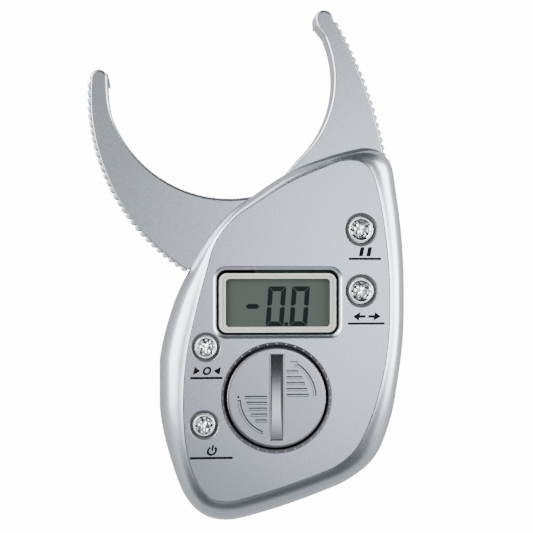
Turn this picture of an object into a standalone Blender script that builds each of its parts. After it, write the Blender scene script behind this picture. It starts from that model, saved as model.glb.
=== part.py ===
"""Skinfold caliper: two curved jaws on a moulded case with a display.

Metres, +Z out of the display, +Y towards the jaw tips. The origin is on the back face, under the jaw pivot.
"""
import math
from collections import namedtuple

import bmesh
import bpy
from mathutils import Vector, Matrix

# Fits shared by every piece
GAP = 0.0003                  # running clearance, and the reveal between touching pieces
OVERRUN = 0.0010              # how far a cutter runs past the face it cuts

# Case
CASE_WIDTH = 0.0875
CASE_LENGTH = 0.1338
CASE_THICKNESS = 0.0240
CASE_WALL = 0.0020
PARTING_HEIGHT = 0.0100
PIVOT_SHARES = (0.4285, 0.7710)          # the jaw pivot's place in the case's width and length


def in_case(share_x, share_y):
    """A place from the pivot, in shares of the case's width and length."""
    return (share_x * CASE_WIDTH, share_y * CASE_LENGTH)


# Outline of the widest section, then of the flat front, as shares of the case's width and length
CASE_SHARES = (
    (0.357, 0.860, 0.381, 0.844),
    (0.516, 0.930, 0.521, 0.902),
    (0.652, 0.968, 0.649, 0.940),
    (0.755, 0.989, 0.737, 0.960),
    (0.847, 1.000, 0.800, 0.958),
    (0.909, 0.987, 0.835, 0.944),
    (0.945, 0.958, 0.856, 0.920),
    (0.967, 0.882, 0.871, 0.870),
    (0.990, 0.761, 0.893, 0.755),
    (1.000, 0.626, 0.907, 0.627),
    (0.996, 0.490, 0.903, 0.499),
    (0.977, 0.382, 0.885, 0.400),
    (0.942, 0.261, 0.839, 0.274),
    (0.878, 0.163, 0.783, 0.193),
    (0.774, 0.106, 0.709, 0.152),
    (0.658, 0.072, 0.613, 0.125),
    (0.426, 0.021, 0.393, 0.078),
    (0.270, 0.000, 0.269, 0.061),
    (0.177, 0.015, 0.201, 0.069),
    (0.107, 0.061, 0.153, 0.101),
    (0.050, 0.153, 0.110, 0.169),
    (0.004, 0.282, 0.088, 0.295),
    (0.000, 0.428, 0.099, 0.436),
    (0.054, 0.574, 0.145, 0.575),
    (0.110, 0.658, 0.179, 0.657),
    (0.198, 0.758, 0.227, 0.746),
    (0.283, 0.823, 0.303, 0.808),
)
# How the side turns over into the flat: share of the way in, share of the way up
TURNOVER_SHARES = ((0.0, 0.0), (0.04, 0.35), (0.20, 0.68), (0.53, 0.90), (1.0, 1.0))
BACK_INSET_SHARE = 0.55                  # the back face is set in less than the front one
POINTS_PER_STATION = 2        # on the outside of the case
CAVITY_POINTS_PER_STATION = 1

# Jaws: radii and centres of the arcs that bound each one
JAW_THICKNESS = 0.0100
JAW_BASE_HEIGHT = 0.0070
JAW_EDGE_ROUND = 0.0007
RIB_PITCH = 0.00265
RIB_RADIUS = 0.0011
RIB_RISE = 0.0015             # how far a grip rib stands out of the jaw's outer edge
RIB_FACE_INSET = 0.0010       # the ribs stop this far short of both faces
RIB_ROOT = 0.0014
PAD_RUN = 0.0034              # the raised contact pad's length below the tip's centre
PAD_HEAD = 0.0010             # and above it
PAD_PROUD = 0.0002            # how far it stands out of the round tip
PAD_ROOT_SHARE = 0.2          # the pad's buried back, as a share of its reach from the tip's centre
PAD_SHOULDER_SHARE = 0.8      # and its slanted ends
PAD_FACE_INSET = 0.0014       # it stops this far short of both faces
HUB_RADIUS = 0.0095
Jaw = namedtuple("Jaw", "inner_centre inner_radius outer_centre outer_radius tip_centre tip_radius pad_angle")
MOVING = Jaw((-0.0134, 0.0551), 0.0437, (0.0099, 0.0471), 0.0719, (-0.0592, 0.0535), 0.0032, 12.0)
FIXED = Jaw((-0.0142, 0.0540), 0.0383, (-0.1059, -0.0009), 0.1506, (0.0208, 0.0757), 0.0034, 176.0)
MOVING_HEEL_ANGLE = 238.2     # on the outer arc, where the moving jaw runs into the case
MOVING_SWELL_ANGLE = 195.0    # on the inner arc, where the jaw starts to thicken to its tip
MOVING_THROAT_ANGLE = 284.0   # on the inner arc, where it joins the hub
FIXED_HEEL_ANGLE = 10.2
FIXED_SWELL_ANGLE = 24.0
FIXED_SHOULDER = (0.0185, 0.0724)        # where the inner edge meets the pad
FIXED_THROAT_ANGLE = -47.0
FIXED_THROAT = (0.0066, 0.0196)          # where the inner edge ends, inside the case
MOVING_TIP_ANGLES = (176.0, -2.0)
FIXED_TIP_ANGLES = (20.0, 200.0)
TIP_LEAD_ANGLE = 1.0          # the outer arc and its ribs run this far past the tip's centre
HUB_START_ANGLE = 66.0
HUB_END_ANGLE = -108.0
ROOT_FLOOR = 0.0088           # lower edge of the fixed jaw's root, above the pivot
ROOT_LEFT = 0.0115
ROOT_INSET = 0.0023
SLOT_START_ANGLE = 30.0
SLOT_END_ANGLE = 209.4
SLOT_REACH = 0.0800
JAW_TRAVEL_ANGLE = 57.8       # leaves the gap between the closed tips

# Pivot stack
PIN_RADIUS = 0.0030
PIN_SEAT_DEPTH = 0.0008       # the pin's blind hole goes this deep into the back wall
BACK_BOSS_RADIUS = 0.0060
BACK_BOSS_RISE = 0.0006
WASHER_RADIUS = 0.0055
WASHER_THICKNESS = 0.0005
CLIP_THICKNESS = 0.0006
CLIP_RADIUS = 0.0050
CLIP_MOUTH = 0.0044
PIN_GROOVE_DEPTH = 0.0006
FRONT_BOSS_RADIUS = 0.0050

# Return spring, a torsion spring round the pivot
SPRING_WIRE = 0.0008
SPRING_MEAN_RADIUS = 0.0066
SPRING_PITCH = 0.00125
SPRING_TURNS = 2.5
SPRING_POINTS_PER_TURN = 14
SPRING_START_ANGLE = 150.0
SPRING_LEG_DEPTH = 0.0022
SPRING_LEG_REACH = 0.0050
PEG_RADIUS = 0.0012

# Gears: the sector on the moving jaw drives the encoder's pinion
GEAR_MODULE = 0.0007
GEAR_WIDTH = 0.0030
SECTOR_FULL_TEETH = 48
PINION_TEETH = 12
PRESSURE_ANGLE = 25.0
BACKLASH = 0.00022
ROOT_CLEARANCE_SHARE = 0.28
PINION_ANGLE = -60.0          # where the pinion lies, seen from the pivot
SECTOR_LEAD_TEETH = 2
SECTOR_HUB_RADIUS = 0.0094
SECTOR_RIM = 0.0028
SECTOR_SCREW_CIRCLE = 0.0074
SECTOR_SCREW_ANGLES = (100.0, 190.0, 280.0)
CODE_DISC_RADIUS = 0.0095
CODE_DISC_THICKNESS = 0.0006
CODE_SLOTS = 16
CODE_SLOT_LENGTH = 0.0024
CODE_SLOT_WIDTH = 0.0011
CODE_SLOT_INSET = 0.0010
PINION_BOSS_RADIUS = 0.0026
SHAFT_RADIUS = 0.0010
SHAFT_COLLAR_RADIUS = 0.0022
SHAFT_COLLAR_HEIGHT = 0.0008
SHAFT_BOSS_RADIUS = 0.0030
READER_LENGTH = 0.0062
READER_WIDTH = 0.0056
READER_CHEEK = 0.0012
READER_BITE = 0.0026          # how far the reader's slot reaches over the disc

# Circuit board and what stands on it
BOARD_HEIGHT = 0.0130
BOARD_THICKNESS = 0.0012
BOARD_LEFT = in_case(-0.3086, 0.0)[0]
BOARD_RIGHT = in_case(0.4114, 0.0)[0]
BOARD_BOTTOM = in_case(0.0, -0.5830)[1]
BOARD_CORNER = 0.0070         # slanted corner that clears the case's round one
BOARD_TOP = -0.0125
BOARD_SHOULDER = -0.0185      # top edge on the left, under the moving jaw's heel
BOARD_SHOULDER_X = -0.0040
BOARD_ARM_X = in_case(0.3200, 0.0)[0]
BOARD_ARM_TOP = 0.0062
BOARD_SCREW_SHARES = ((-0.2629, -0.2018), (0.3771, -0.3513), (-0.1486, -0.5620), (0.2743, -0.5568))
BOARD_SCREW_PLACES = [in_case(*shares) for shares in BOARD_SCREW_SHARES]
STANDOFF_RADIUS = 0.0026
SWITCH_SIDE = 0.0060
SWITCH_HEIGHT = 0.0030
PLUNGER_RADIUS = 0.0017
PLUNGER_RISE = 0.0011
CHIP_SIDE = 0.0100
CHIP_HEIGHT = 0.0013
CHIP_PLACE = in_case(0.3143, -0.4596)
CHIP_LEGS = 5
CHIP_LEG_WIDTH = 0.00035
CHIP_LEG_REACH = 0.0010

# Display
LCD_CENTRE = (0.0036, -0.0256)
BEZEL_WIDTH = 0.0414
BEZEL_HEIGHT = 0.0209
BEZEL_CORNER = 0.0028
BEZEL_DROP = 0.0009           # the frame's face lies this far below the front
BEZEL_PLATE = 0.0016
BEZEL_WALL = 0.0011
BEZEL_STEP_BORDER = 0.0013
BEZEL_STEP_DEPTH = 0.0004
WINDOW_WIDTH = 0.0365
WINDOW_HEIGHT = 0.0165
WINDOW_CORNER = 0.0013
LCD_LIP = 0.0017
LCD_LIP_DEPTH = 0.0011
GLASS_THICKNESS = 0.0018
STRIP_WIDTH = 0.0020

# Buttons: centre, rim radius, ring recess radius
Button = namedtuple("Button", "name centre rim_radius recess_radius")
BUTTONS = (
    Button("hold", in_case(0.3760, 0.0015), 0.00415, 0.00545),
    Button("unit", in_case(0.3771, -0.1599), 0.00415, 0.00545),
    Button("zero", in_case(-0.2480, -0.3064), 0.0037, 0.0050),
    Button("power", in_case(-0.2549, -0.5090), 0.0037, 0.0050),
)
BUTTON_TRAVEL = 0.0005
BUTTON_RECESS_DEPTH = 0.0010
RIM_PROUD = 0.0004            # the rim's top stands this far out of the front
RIM_WIDTH = 0.00045
CAP_FLANGE = 0.0008
CAP_FLANGE_THICKNESS = 0.0008
CAP_STEM_RADIUS = 0.0013
CRYSTAL_PROUD = 0.0006        # the jewel's table above its rim
CRYSTAL_DEPTH = 0.0009
CRYSTAL_SEAT_DEPTH = 0.0013
CRYSTAL_FACETS = 8
TABLE_SHARE = 0.55
CROWN_SHARE = 0.80
CROWN_RISE_SHARE = 0.55
CULET_SHARE = 0.25

# Battery door, its collar, the tray and the cell
DOOR_CENTRE = (0.0031, -0.0588)
DOOR_RADIUS = 0.0182
DOOR_THICKNESS = 0.0026
DOOR_DROP = 0.0001
DOOR_FLARE = 0.0010
DOOR_FLARE_DEPTH = 0.0014
DOOR_NECK_RADIUS = 0.0169
DOOR_NECK_WALL = 0.0014
DOOR_NECK_DEPTH = 0.0024
DOOR_LUG_THICKNESS = 0.0010
COLLAR_LUG_THICKNESS = 0.0008
COLLAR_WALL = 0.0022
LUGS = 3
LUG_ANGLE = 40.0
DOOR_TURN_ANGLE = 60.0
COIN_SLOT_LENGTH = 0.0303
COIN_SLOT_WIDTH = 0.0056
COIN_SLOT_DEPTH = 0.0019
COIN_SLOT_DRAFT_SHARE = 0.3   # how much the slot's walls lean, for each length of depth
DOOR_PAD_RADIUS = 0.0060      # the pad under the door that holds the cell down
CELL_RADIUS = 0.0100
CELL_THICKNESS = 0.0032
CELL_RIM_STEP = 0.0007
CELL_CAN_SHARE = 0.3
TRAY_WALL = 0.0019
TRAY_FLOOR = 0.0012
TRAY_LEDGE = 0.0012
TRAY_LEDGE_RISE = 0.0013
TRAY_RIM_DROP = 0.0007
CONTACT_THICKNESS = 0.0003
CONTACT_WIDTH = 0.0040
CONTACT_FOOT = 0.0030
CONTACT_ANGLE = 200.0
LEAF_HALF_LENGTH = 0.0066
# The leaf's bends, as shares of its half length and of its rise
LEAF_SHARES = ((-1.0, 0.0), (-0.8, 0.0), (-0.3, 1.0), (0.3, 1.0), (0.8, 0.0), (1.0, 0.0))

# Screws
SCREW_RADIUS = 0.0013
SCREW_HEAD_RADIUS = 0.0025
SCREW_HEAD_HEIGHT = 0.0018
SCREW_SINK = 0.0012           # the head lies this far inside the back face
SCREW_BOSS_RADIUS = 0.0044
PILOT_BOSS_RADIUS = 0.0032
JAW_SCREW_PLACES = ((0.0190, 0.0150), (0.0325, 0.0150))
CASE_SCREW_SHARES = ((-0.2229, -0.6353), (0.2229, -0.6241), (0.4286, -0.3027), (-0.3371, -0.4073))
CASE_SCREW_PLACES = [in_case(*shares) for shares in CASE_SCREW_SHARES]
SMALL_SCREW_RADIUS = 0.0008
SMALL_HEAD_RADIUS = 0.0014
SMALL_HEAD_HEIGHT = 0.0010
SCREW_BITE = 0.0070
SMALL_SCREW_BITE = 0.0030

# Facets on round shapes
FINE = 40
MEDIUM = 18
COARSE = 8

# Levels worked out from the sizes above
JAW_TOP = JAW_BASE_HEIGHT + JAW_THICKNESS
FRONT_CEILING = CASE_THICKNESS - CASE_WALL
BOARD_TOP_HEIGHT = BOARD_HEIGHT + BOARD_THICKNESS
GEAR_TOP = JAW_BASE_HEIGHT - GAP
GEAR_BASE = GEAR_TOP - GEAR_WIDTH
PIN_BASE = CASE_WALL - PIN_SEAT_DEPTH + GAP
FRONT_WASHER_BASE = JAW_TOP + GAP
CLIP_BASE = FRONT_WASHER_BASE + WASHER_THICKNESS + GAP
FRONT_BOSS_BASE = CLIP_BASE + CLIP_THICKNESS + GAP
SECTOR_PITCH_RADIUS = GEAR_MODULE * SECTOR_FULL_TEETH / 2
PINION_PITCH_RADIUS = GEAR_MODULE * PINION_TEETH / 2
CODE_DISC_BASE = JAW_BASE_HEIGHT + GAP
COLLAR_LUG_TOP = CASE_THICKNESS - DOOR_DROP - DOOR_THICKNESS - GAP
DOOR_LUG_TOP = COLLAR_LUG_TOP - COLLAR_LUG_THICKNESS - GAP
CELL_BASE = BOARD_TOP_HEIGHT + GAP + TRAY_FLOOR + TRAY_LEDGE_RISE + GAP
BEZEL_TOP = CASE_THICKNESS - BEZEL_DROP
SWITCH_TOP = BOARD_TOP_HEIGHT + GAP + SWITCH_HEIGHT + PLUNGER_RISE


def polar(radius, angle, centre=(0.0, 0.0)):
    """A point at an angle in degrees on a circle."""
    turn = math.radians(angle)
    return (centre[0] + radius * math.cos(turn), centre[1] + radius * math.sin(turn))


def arc(centre, radius, start, end, steps):
    """Points along an arc, both ends included."""
    return [polar(radius, start + (end - start) * step / steps, centre) for step in range(steps + 1)]


def angle_from(centre, point):
    """The direction in degrees from a centre to a point."""
    return math.degrees(math.atan2(point[1] - centre[1], point[0] - centre[0]))


PINION_CENTRE = polar(SECTOR_PITCH_RADIUS + PINION_PITCH_RADIUS, PINION_ANGLE)


# Mesh and object helpers
def material(name, colour, roughness, metallic=0.0):
    """A plain finish for one piece."""
    finish = bpy.data.materials.new(name)
    finish.use_nodes = True
    shader = finish.node_tree.nodes["Principled BSDF"]
    shader.inputs["Base Color"].default_value = (*colour, 1.0)
    shader.inputs["Roughness"].default_value = roughness
    shader.inputs["Metallic"].default_value = metallic
    return finish


def make_object(name, mesh_data, finish=None):
    """Turn a bmesh into a named object whose faces point outwards."""
    bmesh.ops.recalc_face_normals(mesh_data, faces=mesh_data.faces[:])
    mesh = bpy.data.meshes.new(name)
    mesh_data.to_mesh(mesh)
    mesh_data.free()
    piece = bpy.data.objects.new(name, mesh)
    bpy.context.collection.objects.link(piece)
    if finish:
        mesh.materials.append(material(name, *finish))
    return piece


def loft(name, rings, finish=None, ring_shaped=False):
    """Join matching closed rings of points with faces, capped at both ends or closed on itself."""
    shape = bmesh.new()
    loops = [[shape.verts.new(point) for point in ring] for ring in rings]
    pairs = list(zip(loops, loops[1:]))
    if ring_shaped:
        pairs.append((loops[-1], loops[0]))
    for low, high in pairs:
        for index, vertex in enumerate(low):
            after = (index + 1) % len(low)
            shape.faces.new((vertex, low[after], high[after], high[index]))
    if not ring_shaped:
        shape.faces.new(loops[0][::-1])
        shape.faces.new(loops[-1])
    return make_object(name, shape, finish)


def at_height(points, height):
    """Lift a flat outline to a height."""
    return [(x, y, height) for x, y in points]


def prism(name, points, low, high, finish=None):
    """A flat outline carried from one height to another."""
    return loft(name, [at_height(points, low), at_height(points, high)], finish)


def turned(name, profile, centre, finish=None, facets=MEDIUM):
    """A turned shape from (radius, height) points: round a ring, or capped flat where it meets the axis."""
    capped = profile[0][0] == 0
    outline = profile[1:-1] if capped else profile
    rings = []
    for radius, height in outline:
        points = [polar(radius, 360.0 * facet / facets, centre) for facet in range(facets)]
        rings.append(at_height(points, height))
    return loft(name, rings, finish, not capped)


def disc(name, centre, radius, low, high, finish=None, facets=MEDIUM):
    """A plain upright cylinder."""
    return turned(name, [(0, low), (radius, low), (radius, high), (0, high)], centre, finish, facets)


def ring(name, centre, inner, outer, low, high, finish=None, facets=MEDIUM):
    """A flat ring."""
    return turned(name, [(inner, low), (outer, low), (outer, high), (inner, high)], centre, finish, facets)


def rounded_box(centre, width, height, corner, steps=4):
    """Outline of a rectangle with round corners."""
    points = []
    for quarter, (side_x, side_y) in enumerate(((1, 1), (-1, 1), (-1, -1), (1, -1))):
        middle = (centre[0] + side_x * (width / 2 - corner), centre[1] + side_y * (height / 2 - corner))
        points += arc(middle, corner, 90.0 * quarter, 90.0 * (quarter + 1), steps)
    return points


def box_outline(centre, width, height, angle=0.0):
    """Outline of a rectangle turned about its centre."""
    turn = Matrix.Rotation(math.radians(angle), 2)
    corners = ((-1, -1), (1, -1), (1, 1), (-1, 1))
    return [tuple(Vector(centre) + turn @ Vector((x * width / 2, y * height / 2))) for x, y in corners]


def sector(centre, inner, outer, middle_angle, spread, steps=4):
    """Outline of a piece of a ring."""
    start = middle_angle - spread / 2
    end = middle_angle + spread / 2
    return arc(centre, outer, start, end, steps) + arc(centre, inner, end, start, steps)


def combine(piece, others, operation):
    """Cut shapes out of a piece, or weld them to it."""
    for other in others:
        step = piece.modifiers.new("shape", "BOOLEAN")
        step.operation = operation
        step.solver = "EXACT"
        step.object = other
        bpy.context.view_layer.update()
        graph = bpy.context.evaluated_depsgraph_get()
        mesh = bpy.data.meshes.new_from_object(piece.evaluated_get(graph))
        mesh.name = piece.name
        piece.modifiers.clear()
        piece.data = mesh
        bpy.data.objects.remove(other)
    return piece


def cut(piece, *others):
    return combine(piece, others, "DIFFERENCE")


def weld(piece, *others):
    return combine(piece, others, "UNION")


def gather(name, pieces):
    """Several cutters that don't touch as one."""
    shape = bmesh.new()
    for piece in pieces:
        shape.from_mesh(piece.data)
        bpy.data.objects.remove(piece)
    return make_object(name, shape)


def set_origin(piece, x, y, z):
    """Move a piece's origin to a point, its shape staying where it is."""
    piece.data.transform(Matrix.Translation((-x, -y, -z)))
    piece.location = (x, y, z)
    return piece


def smooth(piece, angle=32.0):
    """Shade round faces smooth and keep edges sharp."""
    piece.data.shade_smooth()
    piece.data.set_sharp_from_angle(angle=math.radians(angle))
    return piece


# Case outlines
def smooth_loop(points, steps):
    """A closed smooth curve through hand-placed stations, by centripetal interpolation."""
    curve = []
    count = len(points)
    for index in range(count):
        a, b, c, d = (Vector(points[(index + shift) % count]) for shift in (-1, 0, 1, 2))
        t1 = (b - a).length ** 0.5
        t2 = t1 + (c - b).length ** 0.5
        t3 = t2 + (d - c).length ** 0.5
        for step in range(steps):
            at = t1 + (t2 - t1) * step / steps
            ab = a.lerp(b, at / t1)
            bc = b.lerp(c, (at - t1) / (t2 - t1))
            cd = c.lerp(d, (at - t2) / (t3 - t2))
            abc = ab.lerp(bc, at / t2)
            bcd = bc.lerp(cd, (at - t1) / (t3 - t1))
            curve.append(tuple(abc.lerp(bcd, (at - t1) / (t2 - t1))))
    return curve


def place_share(share_x, share_y):
    """A point given as shares of the case, in the frame of the jaw pivot."""
    return ((share_x - PIVOT_SHARES[0]) * CASE_WIDTH, (share_y - PIVOT_SHARES[1]) * CASE_LENGTH)


def offset_in(points, distance):
    """Move a closed counter-clockwise or clockwise outline inwards by a distance."""
    area = sum(a[0] * b[1] - b[0] * a[1] for a, b in zip(points, points[1:] + points[:1]))
    side = 1.0 if area > 0 else -1.0
    moved = []
    for index, point in enumerate(points):
        before = Vector(points[index - 1])
        after = Vector(points[(index + 1) % len(points)])
        along = (after - before).normalized()
        inward = Vector((-along.y, along.x)) * side
        moved.append(tuple(Vector(point) + inward * distance))
    return moved


def blend_outlines(outer, inner, share):
    """An outline part of the way from one to another."""
    return [tuple(Vector(a).lerp(Vector(b), share)) for a, b in zip(outer, inner)]


WAIST_STATIONS = [place_share(row[0], row[1]) for row in CASE_SHARES]
FACE_STATIONS = [place_share(row[2], row[3]) for row in CASE_SHARES]


def case_body(name, parting, flat_height, inset_share, wall, steps, finish=None):
    """A solid case half: rings from the parting plane over the round side to the flat."""
    waist = offset_in(smooth_loop(WAIST_STATIONS, steps), wall)
    flat = offset_in(smooth_loop(FACE_STATIONS, steps), wall / 2)
    rings = []
    for share_in, share_up in TURNOVER_SHARES:
        outline = blend_outlines(waist, flat, share_in * inset_share)
        rings.append(at_height(outline, parting + (flat_height - parting) * share_up))
    return loft(name, rings, finish)


def case_shell(name, parting, flat_height, inset_share, finish):
    """One moulded half, hollow and open at the parting plane."""
    outward = 1.0 if flat_height > parting else -1.0
    shell = case_body(name, parting, flat_height, inset_share, 0.0, POINTS_PER_STATION, finish)
    cavity = case_body("cavity", parting, flat_height - outward * CASE_WALL, inset_share, CASE_WALL,
                       CAVITY_POINTS_PER_STATION)
    for vertex in cavity.data.vertices:
        if abs(vertex.co.z - parting) < GAP / 2:
            vertex.co.z -= outward * OVERRUN
    return cut(shell, cavity)


def weld_inside(cover, boss, flat_height, inset_share):
    """Weld a boss to a case half, trimmed so that it stays inside the round side."""
    trim = case_body("trim", PARTING_HEIGHT, flat_height, inset_share, CASE_WALL / 2,
                     CAVITY_POINTS_PER_STATION)
    for vertex in trim.data.vertices:
        if abs(vertex.co.z - PARTING_HEIGHT) < GAP / 2:
            vertex.co.z += CASE_THICKNESS if flat_height < PARTING_HEIGHT else -CASE_THICKNESS
    combine(boss, [trim], "INTERSECT")
    return weld(cover, boss)


def slot_cutter():
    """The wide slot in the case's upper edge that the jaws leave through."""
    outline = [(0.0, 0.0)] + arc((0.0, 0.0), SLOT_REACH, SLOT_START_ANGLE, SLOT_END_ANGLE, 8)
    return prism("slot", outline, JAW_BASE_HEIGHT - GAP, JAW_TOP + GAP)


SILVER = ((0.60, 0.61, 0.63), 0.36, 0.55)
DARK_METAL = ((0.36, 0.36, 0.38), 0.32, 1.0)
STEEL = ((0.62, 0.62, 0.64), 0.25, 1.0)
WHITE_PLASTIC = ((0.80, 0.80, 0.78), 0.45, 0.0)
BLACK_PLASTIC = ((0.03, 0.03, 0.03), 0.45, 0.0)
CREAM = ((0.72, 0.73, 0.69), 0.45, 0.0)
BOARD_GREEN = ((0.02, 0.16, 0.07), 0.45, 0.0)
CLEAR = ((0.85, 0.86, 0.88), 0.05, 0.0)
GOLD = ((0.75, 0.55, 0.22), 0.3, 1.0)
PINK_RUBBER = ((0.55, 0.20, 0.28), 0.6, 0.0)
LCD_GREY = ((0.36, 0.40, 0.37), 0.15, 0.0)
PALE_GREY = ((0.62, 0.63, 0.62), 0.42, 0.2)


# Case halves
def build_front_cover():
    cover = case_shell("front_cover", PARTING_HEIGHT + GAP, CASE_THICKNESS, 1.0, SILVER)
    bury = FRONT_CEILING + CASE_WALL / 2
    cut(cover, slot_cutter())
    for x, y in CASE_SCREW_PLACES:
        boss = disc("boss", (x, y), PILOT_BOSS_RADIUS, PARTING_HEIGHT + GAP, bury, None, COARSE)
        weld_inside(cover, boss, CASE_THICKNESS, 1.0)
    for x, y in JAW_SCREW_PLACES:
        weld(cover, disc("boss", (x, y), PILOT_BOSS_RADIUS, JAW_TOP + GAP, bury, None, COARSE))
    weld(cover, disc("boss", (0.0, 0.0), FRONT_BOSS_RADIUS, FRONT_BOSS_BASE, bury, None, MEDIUM))
    cut(cover, disc("bore", (0.0, 0.0), PIN_RADIUS + GAP, FRONT_BOSS_BASE - OVERRUN, FRONT_CEILING))
    peg = polar(SPRING_MEAN_RADIUS + SPRING_LEG_REACH / 2, spring_end_angle())
    beside = polar(SPRING_WIRE / 2 + GAP + PEG_RADIUS, spring_end_angle() + 90.0, peg)
    weld(cover, disc("peg", beside, PEG_RADIUS, spring_top() - SPRING_WIRE, bury, None, COARSE))
    collar_outer = DOOR_RADIUS + GAP + COLLAR_WALL
    collar_low = DOOR_LUG_TOP - DOOR_LUG_THICKNESS
    weld(cover, disc("collar", DOOR_CENTRE, collar_outer, collar_low, bury, None, FINE))
    door_top = CASE_THICKNESS + OVERRUN
    flare_slope = DOOR_FLARE / DOOR_FLARE_DEPTH
    flare = [
        (0, collar_low - OVERRUN),
        (DOOR_RADIUS + GAP, collar_low - OVERRUN),
        (DOOR_RADIUS + GAP, CASE_THICKNESS - DOOR_FLARE_DEPTH),
        (DOOR_RADIUS + GAP + DOOR_FLARE + OVERRUN * flare_slope, door_top),
        (0, door_top),
    ]
    cut(cover, turned("door_bore", flare, DOOR_CENTRE, None, FINE))
    for lug in range(LUGS):
        outline = sector(DOOR_CENTRE, DOOR_NECK_RADIUS + GAP, DOOR_RADIUS + GAP + COLLAR_WALL / 2,
                         360.0 * lug / LUGS + 90.0, LUG_ANGLE)
        weld(cover, prism("lug", outline, COLLAR_LUG_TOP - COLLAR_LUG_THICKNESS, COLLAR_LUG_TOP))
    opening = rounded_box(LCD_CENTRE, BEZEL_WIDTH + 2 * GAP, BEZEL_HEIGHT + 2 * GAP, BEZEL_CORNER + GAP)
    lip_share = (LCD_LIP_DEPTH + OVERRUN) / LCD_LIP_DEPTH
    lip = offset_in(opening, -LCD_LIP * lip_share)
    cut(cover, prism("window", opening, FRONT_CEILING - OVERRUN, door_top))
    cut(cover, loft("lip", [at_height(opening, CASE_THICKNESS - LCD_LIP_DEPTH), at_height(lip, door_top)]))
    for button in BUTTONS:
        hole = [
            (0, FRONT_CEILING - OVERRUN),
            (button.rim_radius + GAP, FRONT_CEILING - OVERRUN),
            (button.rim_radius + GAP, CASE_THICKNESS - BUTTON_RECESS_DEPTH),
            (button.recess_radius, CASE_THICKNESS - BUTTON_RECESS_DEPTH),
            (button.recess_radius, door_top),
            (0, door_top),
        ]
        cut(cover, turned("hole", hole, button.centre, None, MEDIUM))
    for x, y in CASE_SCREW_PLACES:
        cut(cover, disc("pilot", (x, y), SCREW_RADIUS + GAP, PARTING_HEIGHT - OVERRUN,
                        case_screw_tip(PARTING_HEIGHT) + GAP, None, COARSE))
    for x, y in JAW_SCREW_PLACES:
        cut(cover, disc("pilot", (x, y), SCREW_RADIUS + GAP, JAW_TOP - OVERRUN,
                        jaw_screw_tip() + GAP, None, COARSE))
    return smooth(cover)


def case_screw_tip(parting):
    return parting + SCREW_BITE


def jaw_screw_tip():
    return FRONT_CEILING - GAP - GAP


def build_rear_cover():
    cover = case_shell("rear_cover", PARTING_HEIGHT, 0.0, BACK_INSET_SHARE, SILVER)
    cut(cover, slot_cutter())
    bury = CASE_WALL / 2
    for places, top in ((CASE_SCREW_PLACES, PARTING_HEIGHT), (JAW_SCREW_PLACES, JAW_BASE_HEIGHT - GAP)):
        for x, y in places:
            boss = disc("boss", (x, y), SCREW_BOSS_RADIUS, bury, top, None, COARSE)
            weld_inside(cover, boss, 0.0, BACK_INSET_SHARE)
            seat = SCREW_SINK + SCREW_HEAD_HEIGHT + GAP
            bore = [
                (0, -OVERRUN),
                (SCREW_HEAD_RADIUS + GAP, -OVERRUN),
                (SCREW_HEAD_RADIUS + GAP, seat),
                (SCREW_RADIUS + GAP, seat),
                (SCREW_RADIUS + GAP, top + OVERRUN),
                (0, top + OVERRUN),
            ]
            cut(cover, turned("bore", bore, (x, y), None, COARSE))
    weld(cover, disc("boss", (0.0, 0.0), BACK_BOSS_RADIUS, bury, CASE_WALL + BACK_BOSS_RISE, None, MEDIUM))
    cut(cover, disc("bore", (0.0, 0.0), PIN_RADIUS + GAP, CASE_WALL - PIN_SEAT_DEPTH,
                    CASE_WALL + BACK_BOSS_RISE + OVERRUN, None, MEDIUM))
    shaft_boss_top = GEAR_BASE - GAP
    weld(cover, disc("boss", PINION_CENTRE, SHAFT_BOSS_RADIUS, bury, shaft_boss_top, None, COARSE))
    cut(cover, disc("bore", PINION_CENTRE, SHAFT_RADIUS + GAP, CASE_WALL - PIN_SEAT_DEPTH,
                    shaft_boss_top + OVERRUN, None, COARSE))
    for x, y in BOARD_SCREW_PLACES:
        weld(cover, disc("standoff", (x, y), STANDOFF_RADIUS, bury, BOARD_HEIGHT - GAP, None, COARSE))
        cut(cover, disc("pilot", (x, y), SMALL_SCREW_RADIUS + GAP, BOARD_HEIGHT - SMALL_SCREW_BITE - GAP,
                        BOARD_HEIGHT + OVERRUN, None, COARSE))
    return smooth(cover)


# Jaws
def orient(points):
    """The outline counter-clockwise."""
    area = sum(a[0] * b[1] - b[0] * a[1] for a, b in zip(points, points[1:] + points[:1]))
    return points if area > 0 else points[::-1]


def ribs(jaw, heel_angle, tip_angle):
    """Half-round grip ribs along the outer arc, joined by a band buried in the jaw."""
    span = abs(math.radians(tip_angle - heel_angle)) * jaw.outer_radius
    count = int(span / RIB_PITCH)
    step = (tip_angle - heel_angle) / count
    crest_radius = jaw.outer_radius + RIB_RISE - RIB_RADIUS
    outline = []
    for index in range(count):
        angle = heel_angle + step * (index + 0.5)
        crest = polar(crest_radius, angle, jaw.outer_centre)
        turn = -90.0 if step > 0 else 90.0
        outline += arc(crest, RIB_RADIUS, angle + turn, angle - turn, 3)
        if index < count - 1:
            outline.append(polar(jaw.outer_radius - GAP, angle + step / 2, jaw.outer_centre))
    inner = jaw.outer_radius - RIB_ROOT
    outline += arc(jaw.outer_centre, inner, tip_angle - step / 4, heel_angle + step / 4, 12)
    low = JAW_BASE_HEIGHT + RIB_FACE_INSET
    return prism("ribs", orient(outline), low, JAW_TOP - RIB_FACE_INSET)


def jaw_body(name, outline, finish):
    """The jaw's plate with a small round along both faces."""
    body = prism(name, orient(outline), JAW_BASE_HEIGHT, JAW_TOP, finish)
    edge = body.modifiers.new("edge_round", "BEVEL")
    edge.width = JAW_EDGE_ROUND
    edge.segments = 1
    edge.limit_method = "ANGLE"
    edge.angle_limit = math.radians(60.0)
    return body


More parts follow.
